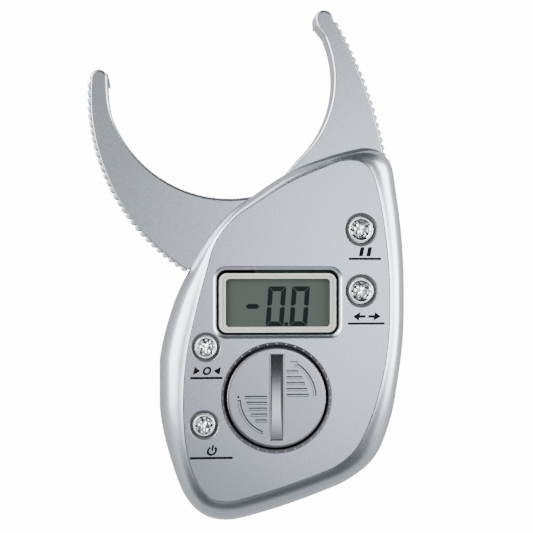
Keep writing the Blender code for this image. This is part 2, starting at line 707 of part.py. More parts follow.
def tip_pad(jaw):
    """The raised contact pad on the side of the tip that meets the skin."""
    out = jaw.tip_radius + PAD_PROUD
    throat_side = -90.0 if jaw is MOVING else 90.0
    facing = Vector(polar(out, jaw.pad_angle))
    down = Vector(polar(PAD_RUN, jaw.pad_angle + throat_side))
    up = Vector(polar(PAD_HEAD, jaw.pad_angle - throat_side))
    back = facing * PAD_ROOT_SHARE
    side = facing * PAD_SHOULDER_SHARE
    middle = Vector(jaw.tip_centre)
    outline = [middle + back + down, middle + side + down, middle + facing + down * PAD_SHOULDER_SHARE,
               middle + facing + up * PAD_SHOULDER_SHARE, middle + side + up, middle + back + up]
    points = orient([tuple(point) for point in outline])
    return prism("pad", points, JAW_BASE_HEIGHT + PAD_FACE_INSET, JAW_TOP - PAD_FACE_INSET)


def build_moving_jaw():
    jaw = MOVING
    outer_tip = angle_from(jaw.outer_centre, jaw.tip_centre)
    outer = arc(jaw.outer_centre, jaw.outer_radius, MOVING_HEEL_ANGLE, outer_tip + TIP_LEAD_ANGLE, 20)
    tip = arc(jaw.tip_centre, jaw.tip_radius, *MOVING_TIP_ANGLES, 9)
    inner = arc(jaw.inner_centre, jaw.inner_radius, MOVING_SWELL_ANGLE, MOVING_THROAT_ANGLE, 20)
    hub = arc((0.0, 0.0), HUB_RADIUS, HUB_START_ANGLE, HUB_END_ANGLE, 16)
    body = jaw_body("moving_jaw", outer + tip + inner + hub, SILVER)
    apply_modifiers(body)
    weld(body, ribs(jaw, MOVING_HEEL_ANGLE, outer_tip + TIP_LEAD_ANGLE), tip_pad(jaw))
    cut(body, disc("bore", (0.0, 0.0), PIN_RADIUS + GAP, JAW_BASE_HEIGHT - OVERRUN, JAW_TOP + OVERRUN))
    leg = polar(SPRING_MEAN_RADIUS, SPRING_START_ANGLE)
    cut(body, disc("leg_hole", leg, SPRING_WIRE / 2 + GAP, JAW_TOP - SPRING_LEG_DEPTH - GAP,
                   JAW_TOP + OVERRUN, None, COARSE))
    for angle in SECTOR_SCREW_ANGLES:
        place = polar(SECTOR_SCREW_CIRCLE, angle)
        cut(body, disc("pilot", place, SMALL_SCREW_RADIUS + GAP, JAW_BASE_HEIGHT - OVERRUN,
                       JAW_BASE_HEIGHT + SMALL_SCREW_BITE + GAP, None, COARSE))
    return smooth(set_origin(body, 0.0, 0.0, JAW_BASE_HEIGHT))


def build_fixed_jaw():
    jaw = FIXED
    outer_tip = angle_from(jaw.outer_centre, jaw.tip_centre)
    outer = arc(jaw.outer_centre, jaw.outer_radius, FIXED_HEEL_ANGLE, outer_tip - TIP_LEAD_ANGLE, 14)
    tip = arc(jaw.tip_centre, jaw.tip_radius, *FIXED_TIP_ANGLES, 9)
    inner = arc(jaw.inner_centre, jaw.inner_radius, FIXED_SWELL_ANGLE, FIXED_THROAT_ANGLE, 18)
    heel = outer[0]
    root = [
        (ROOT_LEFT, ROOT_FLOOR),
        (heel[0] - ROOT_INSET, ROOT_FLOOR),
        (heel[0] - ROOT_INSET, heel[1]),
    ]
    body = jaw_body("fixed_jaw", root + outer + tip + [FIXED_SHOULDER] + inner + [FIXED_THROAT], SILVER)
    apply_modifiers(body)
    weld(body, ribs(jaw, FIXED_HEEL_ANGLE, outer_tip - TIP_LEAD_ANGLE), tip_pad(jaw))
    for place in JAW_SCREW_PLACES:
        cut(body, disc("hole", place, SCREW_RADIUS + GAP, JAW_BASE_HEIGHT - OVERRUN,
                       JAW_TOP + OVERRUN, None, COARSE))
    return smooth(body)


def apply_modifiers(piece):
    """Keep a piece's evaluated shape as its own mesh."""
    bpy.context.view_layer.update()
    graph = bpy.context.evaluated_depsgraph_get()
    mesh = bpy.data.meshes.new_from_object(piece.evaluated_get(graph))
    piece.modifiers.clear()
    piece.data = mesh
    return piece


# Pivot stack and spring
def build_pivot():
    top = FRONT_CEILING - GAP
    groove = PIN_RADIUS - PIN_GROOVE_DEPTH
    profile = [
        (0, PIN_BASE),
        (PIN_RADIUS, PIN_BASE),
        (PIN_RADIUS, CLIP_BASE - GAP / 2),
        (groove, CLIP_BASE - GAP / 2),
        (groove, CLIP_BASE + CLIP_THICKNESS + GAP / 2),
        (PIN_RADIUS, CLIP_BASE + CLIP_THICKNESS + GAP / 2),
        (PIN_RADIUS, top),
        (0, top),
    ]
    smooth(turned("pivot_pin", profile, (0.0, 0.0), STEEL, MEDIUM))
    bore = PIN_RADIUS + GAP
    for name, low in (("rear", GEAR_BASE - GAP - WASHER_THICKNESS), ("front", FRONT_WASHER_BASE)):
        smooth(ring(name + "_thrust_washer", (0.0, 0.0), bore, WASHER_RADIUS, low, low + WASHER_THICKNESS,
                    WHITE_PLASTIC))
    clip_bore = groove + GAP
    clip_top = CLIP_BASE + CLIP_THICKNESS
    clip = ring("pivot_clip", (0.0, 0.0), clip_bore, CLIP_RADIUS, CLIP_BASE, clip_top, DARK_METAL)
    mouth = box_outline((CLIP_RADIUS, 0.0), 2 * CLIP_RADIUS, CLIP_MOUTH)
    smooth(cut(clip, prism("mouth", mouth, CLIP_BASE - OVERRUN, CLIP_BASE + CLIP_THICKNESS + OVERRUN)))


def spring_end_angle():
    return SPRING_START_ANGLE + 360.0 * SPRING_TURNS


def spring_bottom():
    return JAW_TOP + GAP + SPRING_WIRE / 2


def spring_top():
    return spring_bottom() + SPRING_PITCH * SPRING_TURNS


def build_return_spring():
    """One unbroken wire: a leg down into the jaw, the coils and a leg out to the case's peg."""
    start = polar(SPRING_MEAN_RADIUS, SPRING_START_ANGLE)
    points = []
    for share in (1.0, 0.5, 0.0):
        points.append((*start, spring_bottom() - (SPRING_LEG_DEPTH + GAP) * share))
    steps = int(SPRING_TURNS * SPRING_POINTS_PER_TURN)
    for step in range(1, steps + 1):
        turns = SPRING_TURNS * step / steps
        x, y = polar(SPRING_MEAN_RADIUS, SPRING_START_ANGLE + 360.0 * turns)
        points.append((x, y, spring_bottom() + SPRING_PITCH * turns))
    x, y = polar(SPRING_MEAN_RADIUS + SPRING_LEG_REACH, spring_end_angle())
    points.append((x, y, spring_top()))
    curve = bpy.data.curves.new("return_spring", "CURVE")
    curve.dimensions = "3D"
    curve.bevel_depth = SPRING_WIRE / 2
    curve.bevel_resolution = 1
    curve.use_fill_caps = True
    path = curve.splines.new("POLY")
    path.points.add(len(points) - 1)
    for target, point in zip(path.points, points):
        target.co = (*point, 1.0)
    curve.materials.append(material("return_spring", *STEEL))
    spring = bpy.data.objects.new("return_spring", curve)
    bpy.context.collection.objects.link(spring)
    coils = [Vector(point) for point in points[3:-1]]
    least = min((coils[a] - coils[b]).length for a in range(len(coils))
                for b in range(a + SPRING_POINTS_PER_TURN // 2, len(coils)))
    print("least gap of the return spring to itself, mm: %.2f" % ((least - SPRING_WIRE) * 1000))
    return spring


# Gears
def involute_gear(teeth, full_teeth, first_angle):
    """Outline of gear teeth with involute flanks; fewer than all the teeth make a sector's rim."""
    pitch_radius = GEAR_MODULE * full_teeth / 2
    base_radius = pitch_radius * math.cos(math.radians(PRESSURE_ANGLE))
    tip_radius = pitch_radius + GEAR_MODULE
    root_radius = pitch_radius - GEAR_MODULE * (1.0 + ROOT_CLEARANCE_SHARE)

    def roll(radius):
        """Angle that an involute has turned through at a radius."""
        slope = math.acos(min(1.0, base_radius / radius))
        return math.degrees(math.tan(slope) - slope)

    half_pitch = 90.0 / full_teeth - math.degrees(BACKLASH / 4 / pitch_radius)
    outline = []
    for tooth in range(teeth):
        middle = first_angle + 360.0 * tooth / full_teeth
        start = max(base_radius, root_radius)
        radii = [start + (tip_radius - start) * share for share in (0.0, 0.5, 1.0)]
        half = [half_pitch + roll(pitch_radius) - roll(radius) for radius in radii]
        outline.append(polar(root_radius, middle - half[0]))
        outline += [polar(radius, middle - width) for radius, width in zip(radii, half)]
        outline += [polar(radius, middle + width) for radius, width in zip(radii[::-1], half[::-1])]
        outline.append(polar(root_radius, middle + half[0]))
    return outline


def build_sector_gear():
    """Toothed sector screwed under the moving jaw's hub."""
    tooth_angle = 360.0 / SECTOR_FULL_TEETH
    swept = math.ceil(JAW_TRAVEL_ANGLE / tooth_angle) + 2 * SECTOR_LEAD_TEETH
    first = PINION_ANGLE - SECTOR_LEAD_TEETH * tooth_angle
    rim = involute_gear(swept + 1, SECTOR_FULL_TEETH, first)
    last = first + swept * tooth_angle
    inner = SECTOR_PITCH_RADIUS - SECTOR_RIM
    rim += arc((0.0, 0.0), inner, last + tooth_angle / 2, first - tooth_angle / 2, 16)
    gear = prism("sector_gear", rim, GEAR_BASE, GEAR_TOP, WHITE_PLASTIC)
    weld(gear, disc("hub", (0.0, 0.0), SECTOR_HUB_RADIUS, GEAR_BASE, GEAR_TOP, None, MEDIUM))
    for angle in (first, (first + last) / 2, last):
        middle = polar((SECTOR_HUB_RADIUS + inner) / 2, angle)
        length = inner - SECTOR_HUB_RADIUS + 2 * OVERRUN
        spoke = box_outline(middle, length, SECTOR_RIM, angle)
        weld(gear, prism("spoke", spoke, GEAR_BASE, GEAR_TOP))
    cut(gear, disc("bore", (0.0, 0.0), PIN_RADIUS + GAP, GEAR_BASE - OVERRUN, GEAR_TOP + OVERRUN))
    head_top = GEAR_BASE + SMALL_HEAD_HEIGHT + 2 * GAP
    for number, angle in enumerate(SECTOR_SCREW_ANGLES, 1):
        place = polar(SECTOR_SCREW_CIRCLE, angle)
        bore = [
            (0, GEAR_BASE - OVERRUN),
            (SMALL_HEAD_RADIUS + GAP, GEAR_BASE - OVERRUN),
            (SMALL_HEAD_RADIUS + GAP, head_top),
            (SMALL_SCREW_RADIUS + GAP, head_top),
            (SMALL_SCREW_RADIUS + GAP, GEAR_TOP + OVERRUN),
            (0, GEAR_TOP + OVERRUN),
        ]
        cut(gear, turned("bore", bore, place, None, COARSE))
        seat = head_top - GAP
        fastener = screw("sector_screw_%d" % number, place, seat - SMALL_HEAD_HEIGHT, SMALL_HEAD_RADIUS,
                         SMALL_HEAD_HEIGHT, SMALL_SCREW_RADIUS, JAW_BASE_HEIGHT + SMALL_SCREW_BITE)
        set_origin(fastener, 0.0, 0.0, GEAR_BASE)
    smooth(set_origin(gear, 0.0, 0.0, GEAR_BASE))


def build_encoder():
    """Pinion, slotted code disc, its fixed shaft and the light gate that reads the disc."""
    gap_angle = PINION_ANGLE + 180.0
    teeth = involute_gear(PINION_TEETH, PINION_TEETH, gap_angle + 180.0 / PINION_TEETH)
    centred = [(x + PINION_CENTRE[0], y + PINION_CENTRE[1]) for x, y in teeth]
    pinion = prism("encoder_pinion", centred, GEAR_BASE, GEAR_TOP, WHITE_PLASTIC)
    disc_top = CODE_DISC_BASE + CODE_DISC_THICKNESS
    weld(pinion, disc("boss", PINION_CENTRE, PINION_BOSS_RADIUS, GEAR_BASE + GAP, disc_top, None, COARSE))
    cut(pinion, disc("bore", PINION_CENTRE, SHAFT_RADIUS + GAP, GEAR_BASE - OVERRUN,
                     disc_top + OVERRUN, None, COARSE))
    smooth(set_origin(pinion, *PINION_CENTRE, GEAR_BASE))
    wheel = ring("code_disc", PINION_CENTRE, PINION_BOSS_RADIUS + GAP, CODE_DISC_RADIUS,
                 CODE_DISC_BASE, disc_top, BLACK_PLASTIC, 2 * CODE_SLOTS)
    slots = []
    for slot in range(CODE_SLOTS):
        angle = 360.0 * slot / CODE_SLOTS
        middle = polar(CODE_DISC_RADIUS - CODE_SLOT_INSET - CODE_SLOT_LENGTH / 2, angle, PINION_CENTRE)
        outline = box_outline(middle, CODE_SLOT_LENGTH, CODE_SLOT_WIDTH, angle)
        slots.append(prism("slot", outline, CODE_DISC_BASE - OVERRUN, disc_top + OVERRUN))
    cut(wheel, gather("slots", slots))
    smooth(set_origin(wheel, *PINION_CENTRE, GEAR_BASE))
    low = CASE_WALL - PIN_SEAT_DEPTH + GAP
    collar = disc_top + GAP
    shaft = [
        (0, low),
        (SHAFT_RADIUS, low),
        (SHAFT_RADIUS, collar),
        (SHAFT_COLLAR_RADIUS, collar),
        (SHAFT_COLLAR_RADIUS, collar + SHAFT_COLLAR_HEIGHT),
        (SHAFT_RADIUS, collar + SHAFT_COLLAR_HEIGHT),
        (SHAFT_RADIUS, BOARD_TOP_HEIGHT),
        (0, BOARD_TOP_HEIGHT),
    ]
    smooth(turned("encoder_shaft", shaft, PINION_CENTRE, STEEL, COARSE))
    middle = polar(CODE_DISC_RADIUS - READER_BITE + READER_LENGTH / 2, PINION_ANGLE, PINION_CENTRE)
    low = CODE_DISC_BASE - GAP - READER_CHEEK
    reader = prism("encoder_reader", box_outline(middle, READER_LENGTH, READER_WIDTH, PINION_ANGLE),
                   low, BOARD_HEIGHT - GAP, BLACK_PLASTIC)
    mouth = polar(CODE_DISC_RADIUS - READER_BITE / 2 - OVERRUN / 2 + GAP, PINION_ANGLE, PINION_CENTRE)
    slot = box_outline(mouth, READER_BITE + OVERRUN + 2 * GAP, READER_WIDTH + 2 * OVERRUN, PINION_ANGLE)
    cut(reader, prism("slot", slot, CODE_DISC_BASE - GAP, disc_top + GAP))


# Circuit board
def build_circuit_board():
    outline = [
        (BOARD_LEFT, BOARD_BOTTOM),
        (BOARD_RIGHT - BOARD_CORNER, BOARD_BOTTOM),
        (BOARD_RIGHT, BOARD_BOTTOM + BOARD_CORNER),
        (BOARD_RIGHT, BOARD_ARM_TOP),
        (BOARD_ARM_X, BOARD_ARM_TOP),
        (BOARD_ARM_X, BOARD_TOP),
        (BOARD_SHOULDER_X, BOARD_TOP),
        (BOARD_SHOULDER_X, BOARD_SHOULDER),
        (BOARD_LEFT, BOARD_SHOULDER),
    ]
    board = prism("circuit_board", outline, BOARD_HEIGHT, BOARD_TOP_HEIGHT, BOARD_GREEN)
    low = BOARD_HEIGHT - OVERRUN
    high = BOARD_TOP_HEIGHT + OVERRUN
    for place in BOARD_SCREW_PLACES:
        cut(board, disc("hole", place, SMALL_SCREW_RADIUS + GAP, low, high, None, COARSE))
    cut(board, disc("hole", PINION_CENTRE, SHAFT_RADIUS + GAP, low, high, None, COARSE))
    for place in CASE_SCREW_PLACES:
        cut(board, disc("notch", place, SCREW_BOSS_RADIUS + 2 * GAP, low, high, None, COARSE))
    seat = BOARD_TOP_HEIGHT + GAP
    for number, place in enumerate(BOARD_SCREW_PLACES, 1):
        screw("board_screw_%d" % number, place, seat + SMALL_HEAD_HEIGHT, SMALL_HEAD_RADIUS,
              -SMALL_HEAD_HEIGHT, SMALL_SCREW_RADIUS, BOARD_HEIGHT - SMALL_SCREW_BITE)
    for button in BUTTONS:
        outline = box_outline(button.centre, SWITCH_SIDE, SWITCH_SIDE)
        body = prism(button.name + "_switch", outline, seat, seat + SWITCH_HEIGHT, BLACK_PLASTIC)
        plunger = disc("plunger", button.centre, PLUNGER_RADIUS, seat + SWITCH_HEIGHT / 2, SWITCH_TOP,
                       None, COARSE)
        weld(body, plunger)
    chip = prism("controller_chip", box_outline(CHIP_PLACE, CHIP_SIDE, CHIP_SIDE), seat, seat + CHIP_HEIGHT,
                 BLACK_PLASTIC)
    pitch = CHIP_SIDE / (CHIP_LEGS + 1)
    legs = []
    for leg in range(CHIP_LEGS):
        along = (leg + 1 - (CHIP_LEGS + 1) / 2) * pitch
        reach = CHIP_SIDE + 2 * CHIP_LEG_REACH
        for centre, width, height in (
            ((CHIP_PLACE[0] + along, CHIP_PLACE[1]), CHIP_LEG_WIDTH, reach),
            ((CHIP_PLACE[0], CHIP_PLACE[1] + along), reach, CHIP_LEG_WIDTH),
        ):
            legs.append(prism("leg", box_outline(centre, width, height), seat + GAP, seat + 2 * GAP))
    for leg in legs:
        weld(chip, leg)


# Display
def build_display():
    outer = rounded_box(LCD_CENTRE, BEZEL_WIDTH, BEZEL_HEIGHT, BEZEL_CORNER)
    low = BOARD_TOP_HEIGHT + GAP
    frame = prism("lcd_frame", outer, low, BEZEL_TOP, CREAM)
    plate_low = BEZEL_TOP - BEZEL_PLATE
    inside = rounded_box(LCD_CENTRE, BEZEL_WIDTH - 2 * BEZEL_WALL, BEZEL_HEIGHT - 2 * BEZEL_WALL,
                         BEZEL_CORNER / 2)
    cut(frame, prism("inside", inside, low - OVERRUN, plate_low))
    window = rounded_box(LCD_CENTRE, WINDOW_WIDTH, WINDOW_HEIGHT, WINDOW_CORNER)
    cut(frame, prism("window", window, plate_low - OVERRUN, BEZEL_TOP + OVERRUN))
    step = rounded_box(LCD_CENTRE, WINDOW_WIDTH + 2 * BEZEL_STEP_BORDER,
                       WINDOW_HEIGHT + 2 * BEZEL_STEP_BORDER, WINDOW_CORNER + BEZEL_STEP_BORDER / 2)
    cut(frame, prism("step", step, BEZEL_TOP - BEZEL_STEP_DEPTH, BEZEL_TOP + OVERRUN))
    glass_width = BEZEL_WIDTH - 2 * BEZEL_WALL - 2 * GAP
    glass_height = BEZEL_HEIGHT - 2 * BEZEL_WALL - 2 * GAP
    glass_top = plate_low - GAP
    glass = rounded_box(LCD_CENTRE, glass_width, glass_height, BEZEL_CORNER / 2)
    prism("lcd_glass", glass, glass_top - GLASS_THICKNESS, glass_top, LCD_GREY)
    for name, side in (("upper", 1), ("lower", -1)):
        centre = (LCD_CENTRE[0], LCD_CENTRE[1] + side * (glass_height / 2 - STRIP_WIDTH))
        outline = box_outline(centre, glass_width - 2 * STRIP_WIDTH, STRIP_WIDTH)
        prism(name + "_zebra_strip", outline, low, glass_top - GLASS_THICKNESS - GAP, PINK_RUBBER)


# Buttons
def build_button(button):
    rim_top = CASE_THICKNESS + RIM_PROUD
    flange_top = FRONT_CEILING - GAP
    seat_radius = button.rim_radius - RIM_WIDTH
    seat = rim_top - CRYSTAL_SEAT_DEPTH
    stem_low = SWITCH_TOP + GAP + BUTTON_TRAVEL
    profile = [
        (0, stem_low),
        (CAP_STEM_RADIUS, stem_low),
        (CAP_STEM_RADIUS, flange_top - CAP_FLANGE_THICKNESS),
        (button.rim_radius + CAP_FLANGE, flange_top - CAP_FLANGE_THICKNESS),
        (button.rim_radius + CAP_FLANGE, flange_top),
        (button.rim_radius, flange_top),
        (button.rim_radius, rim_top),
        (seat_radius, rim_top),
        (seat_radius, seat),
        (0, seat),
    ]
    cap = turned(button.name + "_button_cap", profile, button.centre, WHITE_PLASTIC, MEDIUM)
    smooth(set_origin(cap, *button.centre, CASE_THICKNESS))
    build_crystal(button, seat_radius - GAP, rim_top, seat)


def build_crystal(button, radius, rim_top, seat):
    """A faceted jewel: a flat table, a ring of kite facets, the girdle and a blunt culet."""
    shape = bmesh.new()
    girdle = rim_top
    table = rim_top + CRYSTAL_PROUD
    step = 360.0 / CRYSTAL_FACETS
    for facet in range(CRYSTAL_FACETS):
        angle = step * facet
        shape.verts.new((*polar(radius * TABLE_SHARE, angle, button.centre), table))
        crown = girdle + CRYSTAL_PROUD * CROWN_RISE_SHARE
        shape.verts.new((*polar(radius * CROWN_SHARE, angle + step / 2, button.centre), crown))
        shape.verts.new((*polar(radius, angle, button.centre), girdle))
        shape.verts.new((*polar(radius, angle + step / 2, button.centre), girdle))
        low = max(girdle - CRYSTAL_DEPTH, seat + GAP)
        shape.verts.new((*polar(radius * CULET_SHARE, angle, button.centre), low))
    bmesh.ops.convex_hull(shape, input=shape.verts[:])
    jewel = make_object(button.name + "_button_crystal", shape, CLEAR)
    set_origin(jewel, *button.centre, CASE_THICKNESS)


# Battery
def build_battery_door():
    """Coin-slotted door that turns under the collar's lugs."""
    top = CASE_THICKNESS - DOOR_DROP
    low = top - DOOR_THICKNESS
    neck_low = DOOR_LUG_TOP - DOOR_LUG_THICKNESS
    pad_low = CELL_BASE + CELL_THICKNESS + GAP
    profile = [
        (0, pad_low),
        (DOOR_PAD_RADIUS, pad_low),
        (DOOR_PAD_RADIUS, low),
        (DOOR_NECK_RADIUS - DOOR_NECK_WALL, low),
        (DOOR_NECK_RADIUS - DOOR_NECK_WALL, neck_low),
        (DOOR_NECK_RADIUS, neck_low),
        (DOOR_NECK_RADIUS, low),
        (DOOR_RADIUS, low),
        (DOOR_RADIUS, top),
        (0, top),
    ]
    door = turned("battery_door", profile, DOOR_CENTRE, PALE_GREY, FINE)
    for lug in range(LUGS):
        outline = sector(DOOR_CENTRE, DOOR_NECK_RADIUS - DOOR_NECK_WALL / 2, DOOR_RADIUS,
                         360.0 * lug / LUGS + 90.0, LUG_ANGLE)
        weld(door, prism("lug", outline, neck_low, DOOR_LUG_TOP))
    half = COIN_SLOT_LENGTH / 2
    coin_radius = (half ** 2 + COIN_SLOT_DEPTH ** 2) / (2 * COIN_SLOT_DEPTH)
    coin_middle = top - COIN_SLOT_DEPTH + coin_radius
    spread = math.degrees(math.acos(1.0 - (COIN_SLOT_DEPTH + OVERRUN) / coin_radius))
    rings = []
    for side in (-1, 1):
        floor_line = arc((DOOR_CENTRE[1], coin_middle), coin_radius, 270.0 - spread, 270.0 + spread, 10)
        edge = DOOR_CENTRE[0] + side * COIN_SLOT_WIDTH / 2
        rings.append([(edge - side * (top - z) * COIN_SLOT_DRAFT_SHARE, y, z) for y, z in floor_line])
    cut(door, loft("coin_slot", rings))
    return smooth(set_origin(door, *DOOR_CENTRE, low))


def build_battery_bay():
    base = BOARD_TOP_HEIGHT + GAP
    floor = base + TRAY_FLOOR
    ledge = floor + TRAY_LEDGE_RISE
    pocket = CELL_RADIUS + GAP
    rim = CELL_BASE + CELL_THICKNESS - TRAY_RIM_DROP
    profile = [
        (0, base),
        (pocket + TRAY_WALL, base),
        (pocket + TRAY_WALL, rim),
        (pocket, rim),
        (pocket, ledge),
        (pocket - TRAY_LEDGE, ledge),
        (pocket - TRAY_LEDGE, floor),
        (0, floor),
    ]
    tray = turned("battery_tray", profile, DOOR_CENTRE, WHITE_PLASTIC, MEDIUM)
    mouth = polar(pocket + TRAY_WALL / 2, CONTACT_ANGLE, DOOR_CENTRE)
    width = CONTACT_WIDTH + 2 * GAP
    opening = box_outline(mouth, TRAY_WALL + 2 * TRAY_LEDGE, width, CONTACT_ANGLE)
    cut(tray, prism("mouth", opening, base - OVERRUN, rim + OVERRUN))
    smooth(tray)
    can = [
        (0, CELL_BASE),
        (CELL_RADIUS - CELL_RIM_STEP, CELL_BASE),
        (CELL_RADIUS - CELL_RIM_STEP, CELL_BASE + CELL_THICKNESS * CELL_CAN_SHARE),
        (CELL_RADIUS, CELL_BASE + CELL_THICKNESS * CELL_CAN_SHARE),
        (CELL_RADIUS, CELL_BASE + CELL_THICKNESS),
        (0, CELL_BASE + CELL_THICKNESS),
    ]
    smooth(turned("coin_cell", can, DOOR_CENTRE, STEEL, MEDIUM))
    build_contacts(base, floor, rim, pocket)


def build_contacts(base, floor, rim, pocket):
    """A clip at the cell's side and a leaf spring under it."""
    plate = pocket + CONTACT_THICKNESS
    profile = [
        (pocket, base),
        (plate + CONTACT_FOOT, base),
        (plate + CONTACT_FOOT, base + CONTACT_THICKNESS),
        (plate, base + CONTACT_THICKNESS),
        (plate, rim),
        (pocket, rim),
    ]
    turn = Matrix.Rotation(math.radians(CONTACT_ANGLE), 3, "Z")
    middle = Vector((*DOOR_CENTRE, 0.0))
    rings = []
    for side in (-1, 1):
        rings.append([tuple(middle + turn @ Vector((r, side * CONTACT_WIDTH / 2, z))) for r, z in profile])
    loft("positive_contact", rings, GOLD)
    end = floor + GAP
    crown = CELL_BASE - GAP - CONTACT_THICKNESS
    under = [(LEAF_HALF_LENGTH * share, end + (crown - end) * rise) for share, rise in LEAF_SHARES]
    over = [(x, z + CONTACT_THICKNESS) for x, z in under[::-1]]
    rings = []
    for side in (-1, 1):
        y = DOOR_CENTRE[1] + side * CONTACT_WIDTH / 2
        rings.append([(DOOR_CENTRE[0] + x, y, z) for x, z in under + over])
    loft("negative_contact", rings, GOLD)


# Screws
def screw(name, place, head_end, head_radius, head_height, radius, tip):
    """A pan-headed screw; its head starts at one height and its tip ends at another."""
    seat = head_end + head_height
    profile = [(0, head_end), (head_radius, head_end), (head_radius, seat), (radius, seat), (radius, tip),
               (0, tip)]
    return smooth(turned(name, profile, place, STEEL, COARSE))


def build_housing_screws():
    places = [(place, case_screw_tip(PARTING_HEIGHT)) for place in CASE_SCREW_PLACES]
    places += [(place, jaw_screw_tip()) for place in JAW_SCREW_PLACES]
    for number, (place, tip) in enumerate(places, 1):
        screw("housing_screw_%d" % number, place, SCREW_SINK, SCREW_HEAD_RADIUS, SCREW_HEAD_HEIGHT,
              SCREW_RADIUS, tip)


def main():
    for old in list(bpy.data.objects):
        bpy.data.objects.remove(old)
    build_rear_cover()
    build_front_cover()
    build_fixed_jaw()
    build_moving_jaw()
    build_pivot()
    build_return_spring()
    build_sector_gear()
    build_encoder()
    build_circuit_board()
    build_display()
    for button in BUTTONS:
        build_button(button)
    build_battery_door()
    build_battery_bay()
    build_housing_screws()


main()
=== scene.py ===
"""Looks of the skinfold caliper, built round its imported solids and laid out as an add-on."""

import math

import bmesh
import bpy
from bpy.props import FloatProperty, FloatVectorProperty, IntProperty, PointerProperty
from mathutils import Matrix, Vector


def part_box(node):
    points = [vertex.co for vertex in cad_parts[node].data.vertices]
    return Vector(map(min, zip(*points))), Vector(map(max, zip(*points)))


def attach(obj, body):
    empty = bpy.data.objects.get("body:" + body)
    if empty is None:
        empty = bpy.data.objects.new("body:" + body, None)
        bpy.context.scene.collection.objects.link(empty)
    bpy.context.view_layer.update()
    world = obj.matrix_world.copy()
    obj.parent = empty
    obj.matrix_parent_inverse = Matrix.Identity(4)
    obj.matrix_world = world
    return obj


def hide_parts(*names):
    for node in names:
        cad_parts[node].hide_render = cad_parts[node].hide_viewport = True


bl_info = {
    "name": "Skinfold caliper",
    "version": (1, 0, 0),
    "blender": (4, 5, 0),
    "location": "3D View > Sidebar > Caliper",
    "description": "Dresses the caliper's solids: painted case, ribbed jaws, jewel buttons and display",
    "category": "Object",
}

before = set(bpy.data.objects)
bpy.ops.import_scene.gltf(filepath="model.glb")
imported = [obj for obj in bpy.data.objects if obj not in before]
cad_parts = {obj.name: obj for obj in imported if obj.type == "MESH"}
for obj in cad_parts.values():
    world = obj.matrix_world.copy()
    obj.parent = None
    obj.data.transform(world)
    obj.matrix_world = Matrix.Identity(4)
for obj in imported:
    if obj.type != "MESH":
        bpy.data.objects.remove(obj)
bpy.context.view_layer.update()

MM = 0.001

# Levels and places read from the solids
CASE_LOW, CASE_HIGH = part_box("front_cover")
BACK_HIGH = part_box("rear_cover")[1]
JAW_LOW, JAW_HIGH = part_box("moving_jaw")
BEZEL_LOW, BEZEL_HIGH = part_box("lcd_frame")
GLASS_LOW, GLASS_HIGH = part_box("lcd_glass")
DOOR_LOW, DOOR_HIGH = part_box("battery_door")
DOOR_CENTRE = ((DOOR_LOW.x + DOOR_HIGH.x) / 2, (DOOR_LOW.y + DOOR_HIGH.y) / 2)
LCD_CENTRE = ((BEZEL_LOW.x + BEZEL_HIGH.x) / 2, (BEZEL_LOW.y + BEZEL_HIGH.y) / 2)
BUTTON_NAMES = ("hold", "unit", "zero", "power")
BUTTON_CENTRES = {}
for button_name in BUTTON_NAMES:
    cap_low, cap_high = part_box(button_name + "_button_cap")
    BUTTON_CENTRES[button_name] = ((cap_low.x + cap_high.x) / 2, (cap_low.y + cap_high.y) / 2)
RIM_RADII = {"hold": 4.30 * MM, "unit": 4.30 * MM, "zero": 3.75 * MM, "power": 3.75 * MM}
RECESS_RADII = {"hold": 5.80 * MM, "unit": 5.80 * MM, "zero": 5.10 * MM, "power": 5.10 * MM}
SCREW_NODES = ["housing_screw_%d" % number for number in range(1, 7)]

# The case's outline: widest section, then the flat front, as shares of its width and length
CASE_SHARES = (
    (0.357, 0.860, 0.381, 0.844),
    (0.516, 0.930, 0.521, 0.902),
    (0.652, 0.968, 0.649, 0.940),
    (0.755, 0.989, 0.737, 0.960),
    (0.847, 1.000, 0.800, 0.958),
    (0.909, 0.987, 0.835, 0.944),
    (0.945, 0.958, 0.856, 0.920),
    (0.967, 0.882, 0.879, 0.870),
    (0.990, 0.761, 0.908, 0.755),
    (1.000, 0.626, 0.923, 0.627),
    (0.996, 0.490, 0.920, 0.499),
    (0.977, 0.382, 0.900, 0.400),
    (0.942, 0.261, 0.846, 0.274),
    (0.878, 0.163, 0.783, 0.193),
    (0.774, 0.106, 0.709, 0.152),
    (0.658, 0.072, 0.613, 0.125),
    (0.426, 0.021, 0.393, 0.078),
    (0.270, 0.000, 0.269, 0.061),
    (0.177, 0.015, 0.206, 0.069),
    (0.107, 0.061, 0.160, 0.101),
    (0.050, 0.153, 0.118, 0.169),
    (0.004, 0.282, 0.096, 0.295),
    (0.000, 0.428, 0.107, 0.436),
    (0.054, 0.574, 0.151, 0.575),
    (0.110, 0.658, 0.184, 0.657),
    (0.198, 0.758, 0.227, 0.746),
    (0.283, 0.823, 0.303, 0.808),
)
TURNOVER_SHARES = ((0.0, 0.0), (0.04, 0.35), (0.20, 0.68), (0.53, 0.90), (1.0, 1.0))
OUTLINE_STEPS = 8
TURNOVER_STEPS = 5
WALL = 2.0 * MM
GAP = 0.3 * MM
OVERRUN = 1.0 * MM
BACK_INSET_SHARE = 0.55
SLOT_ANGLES = (30.0, 209.4)
SLOT_REACH = 80.0 * MM

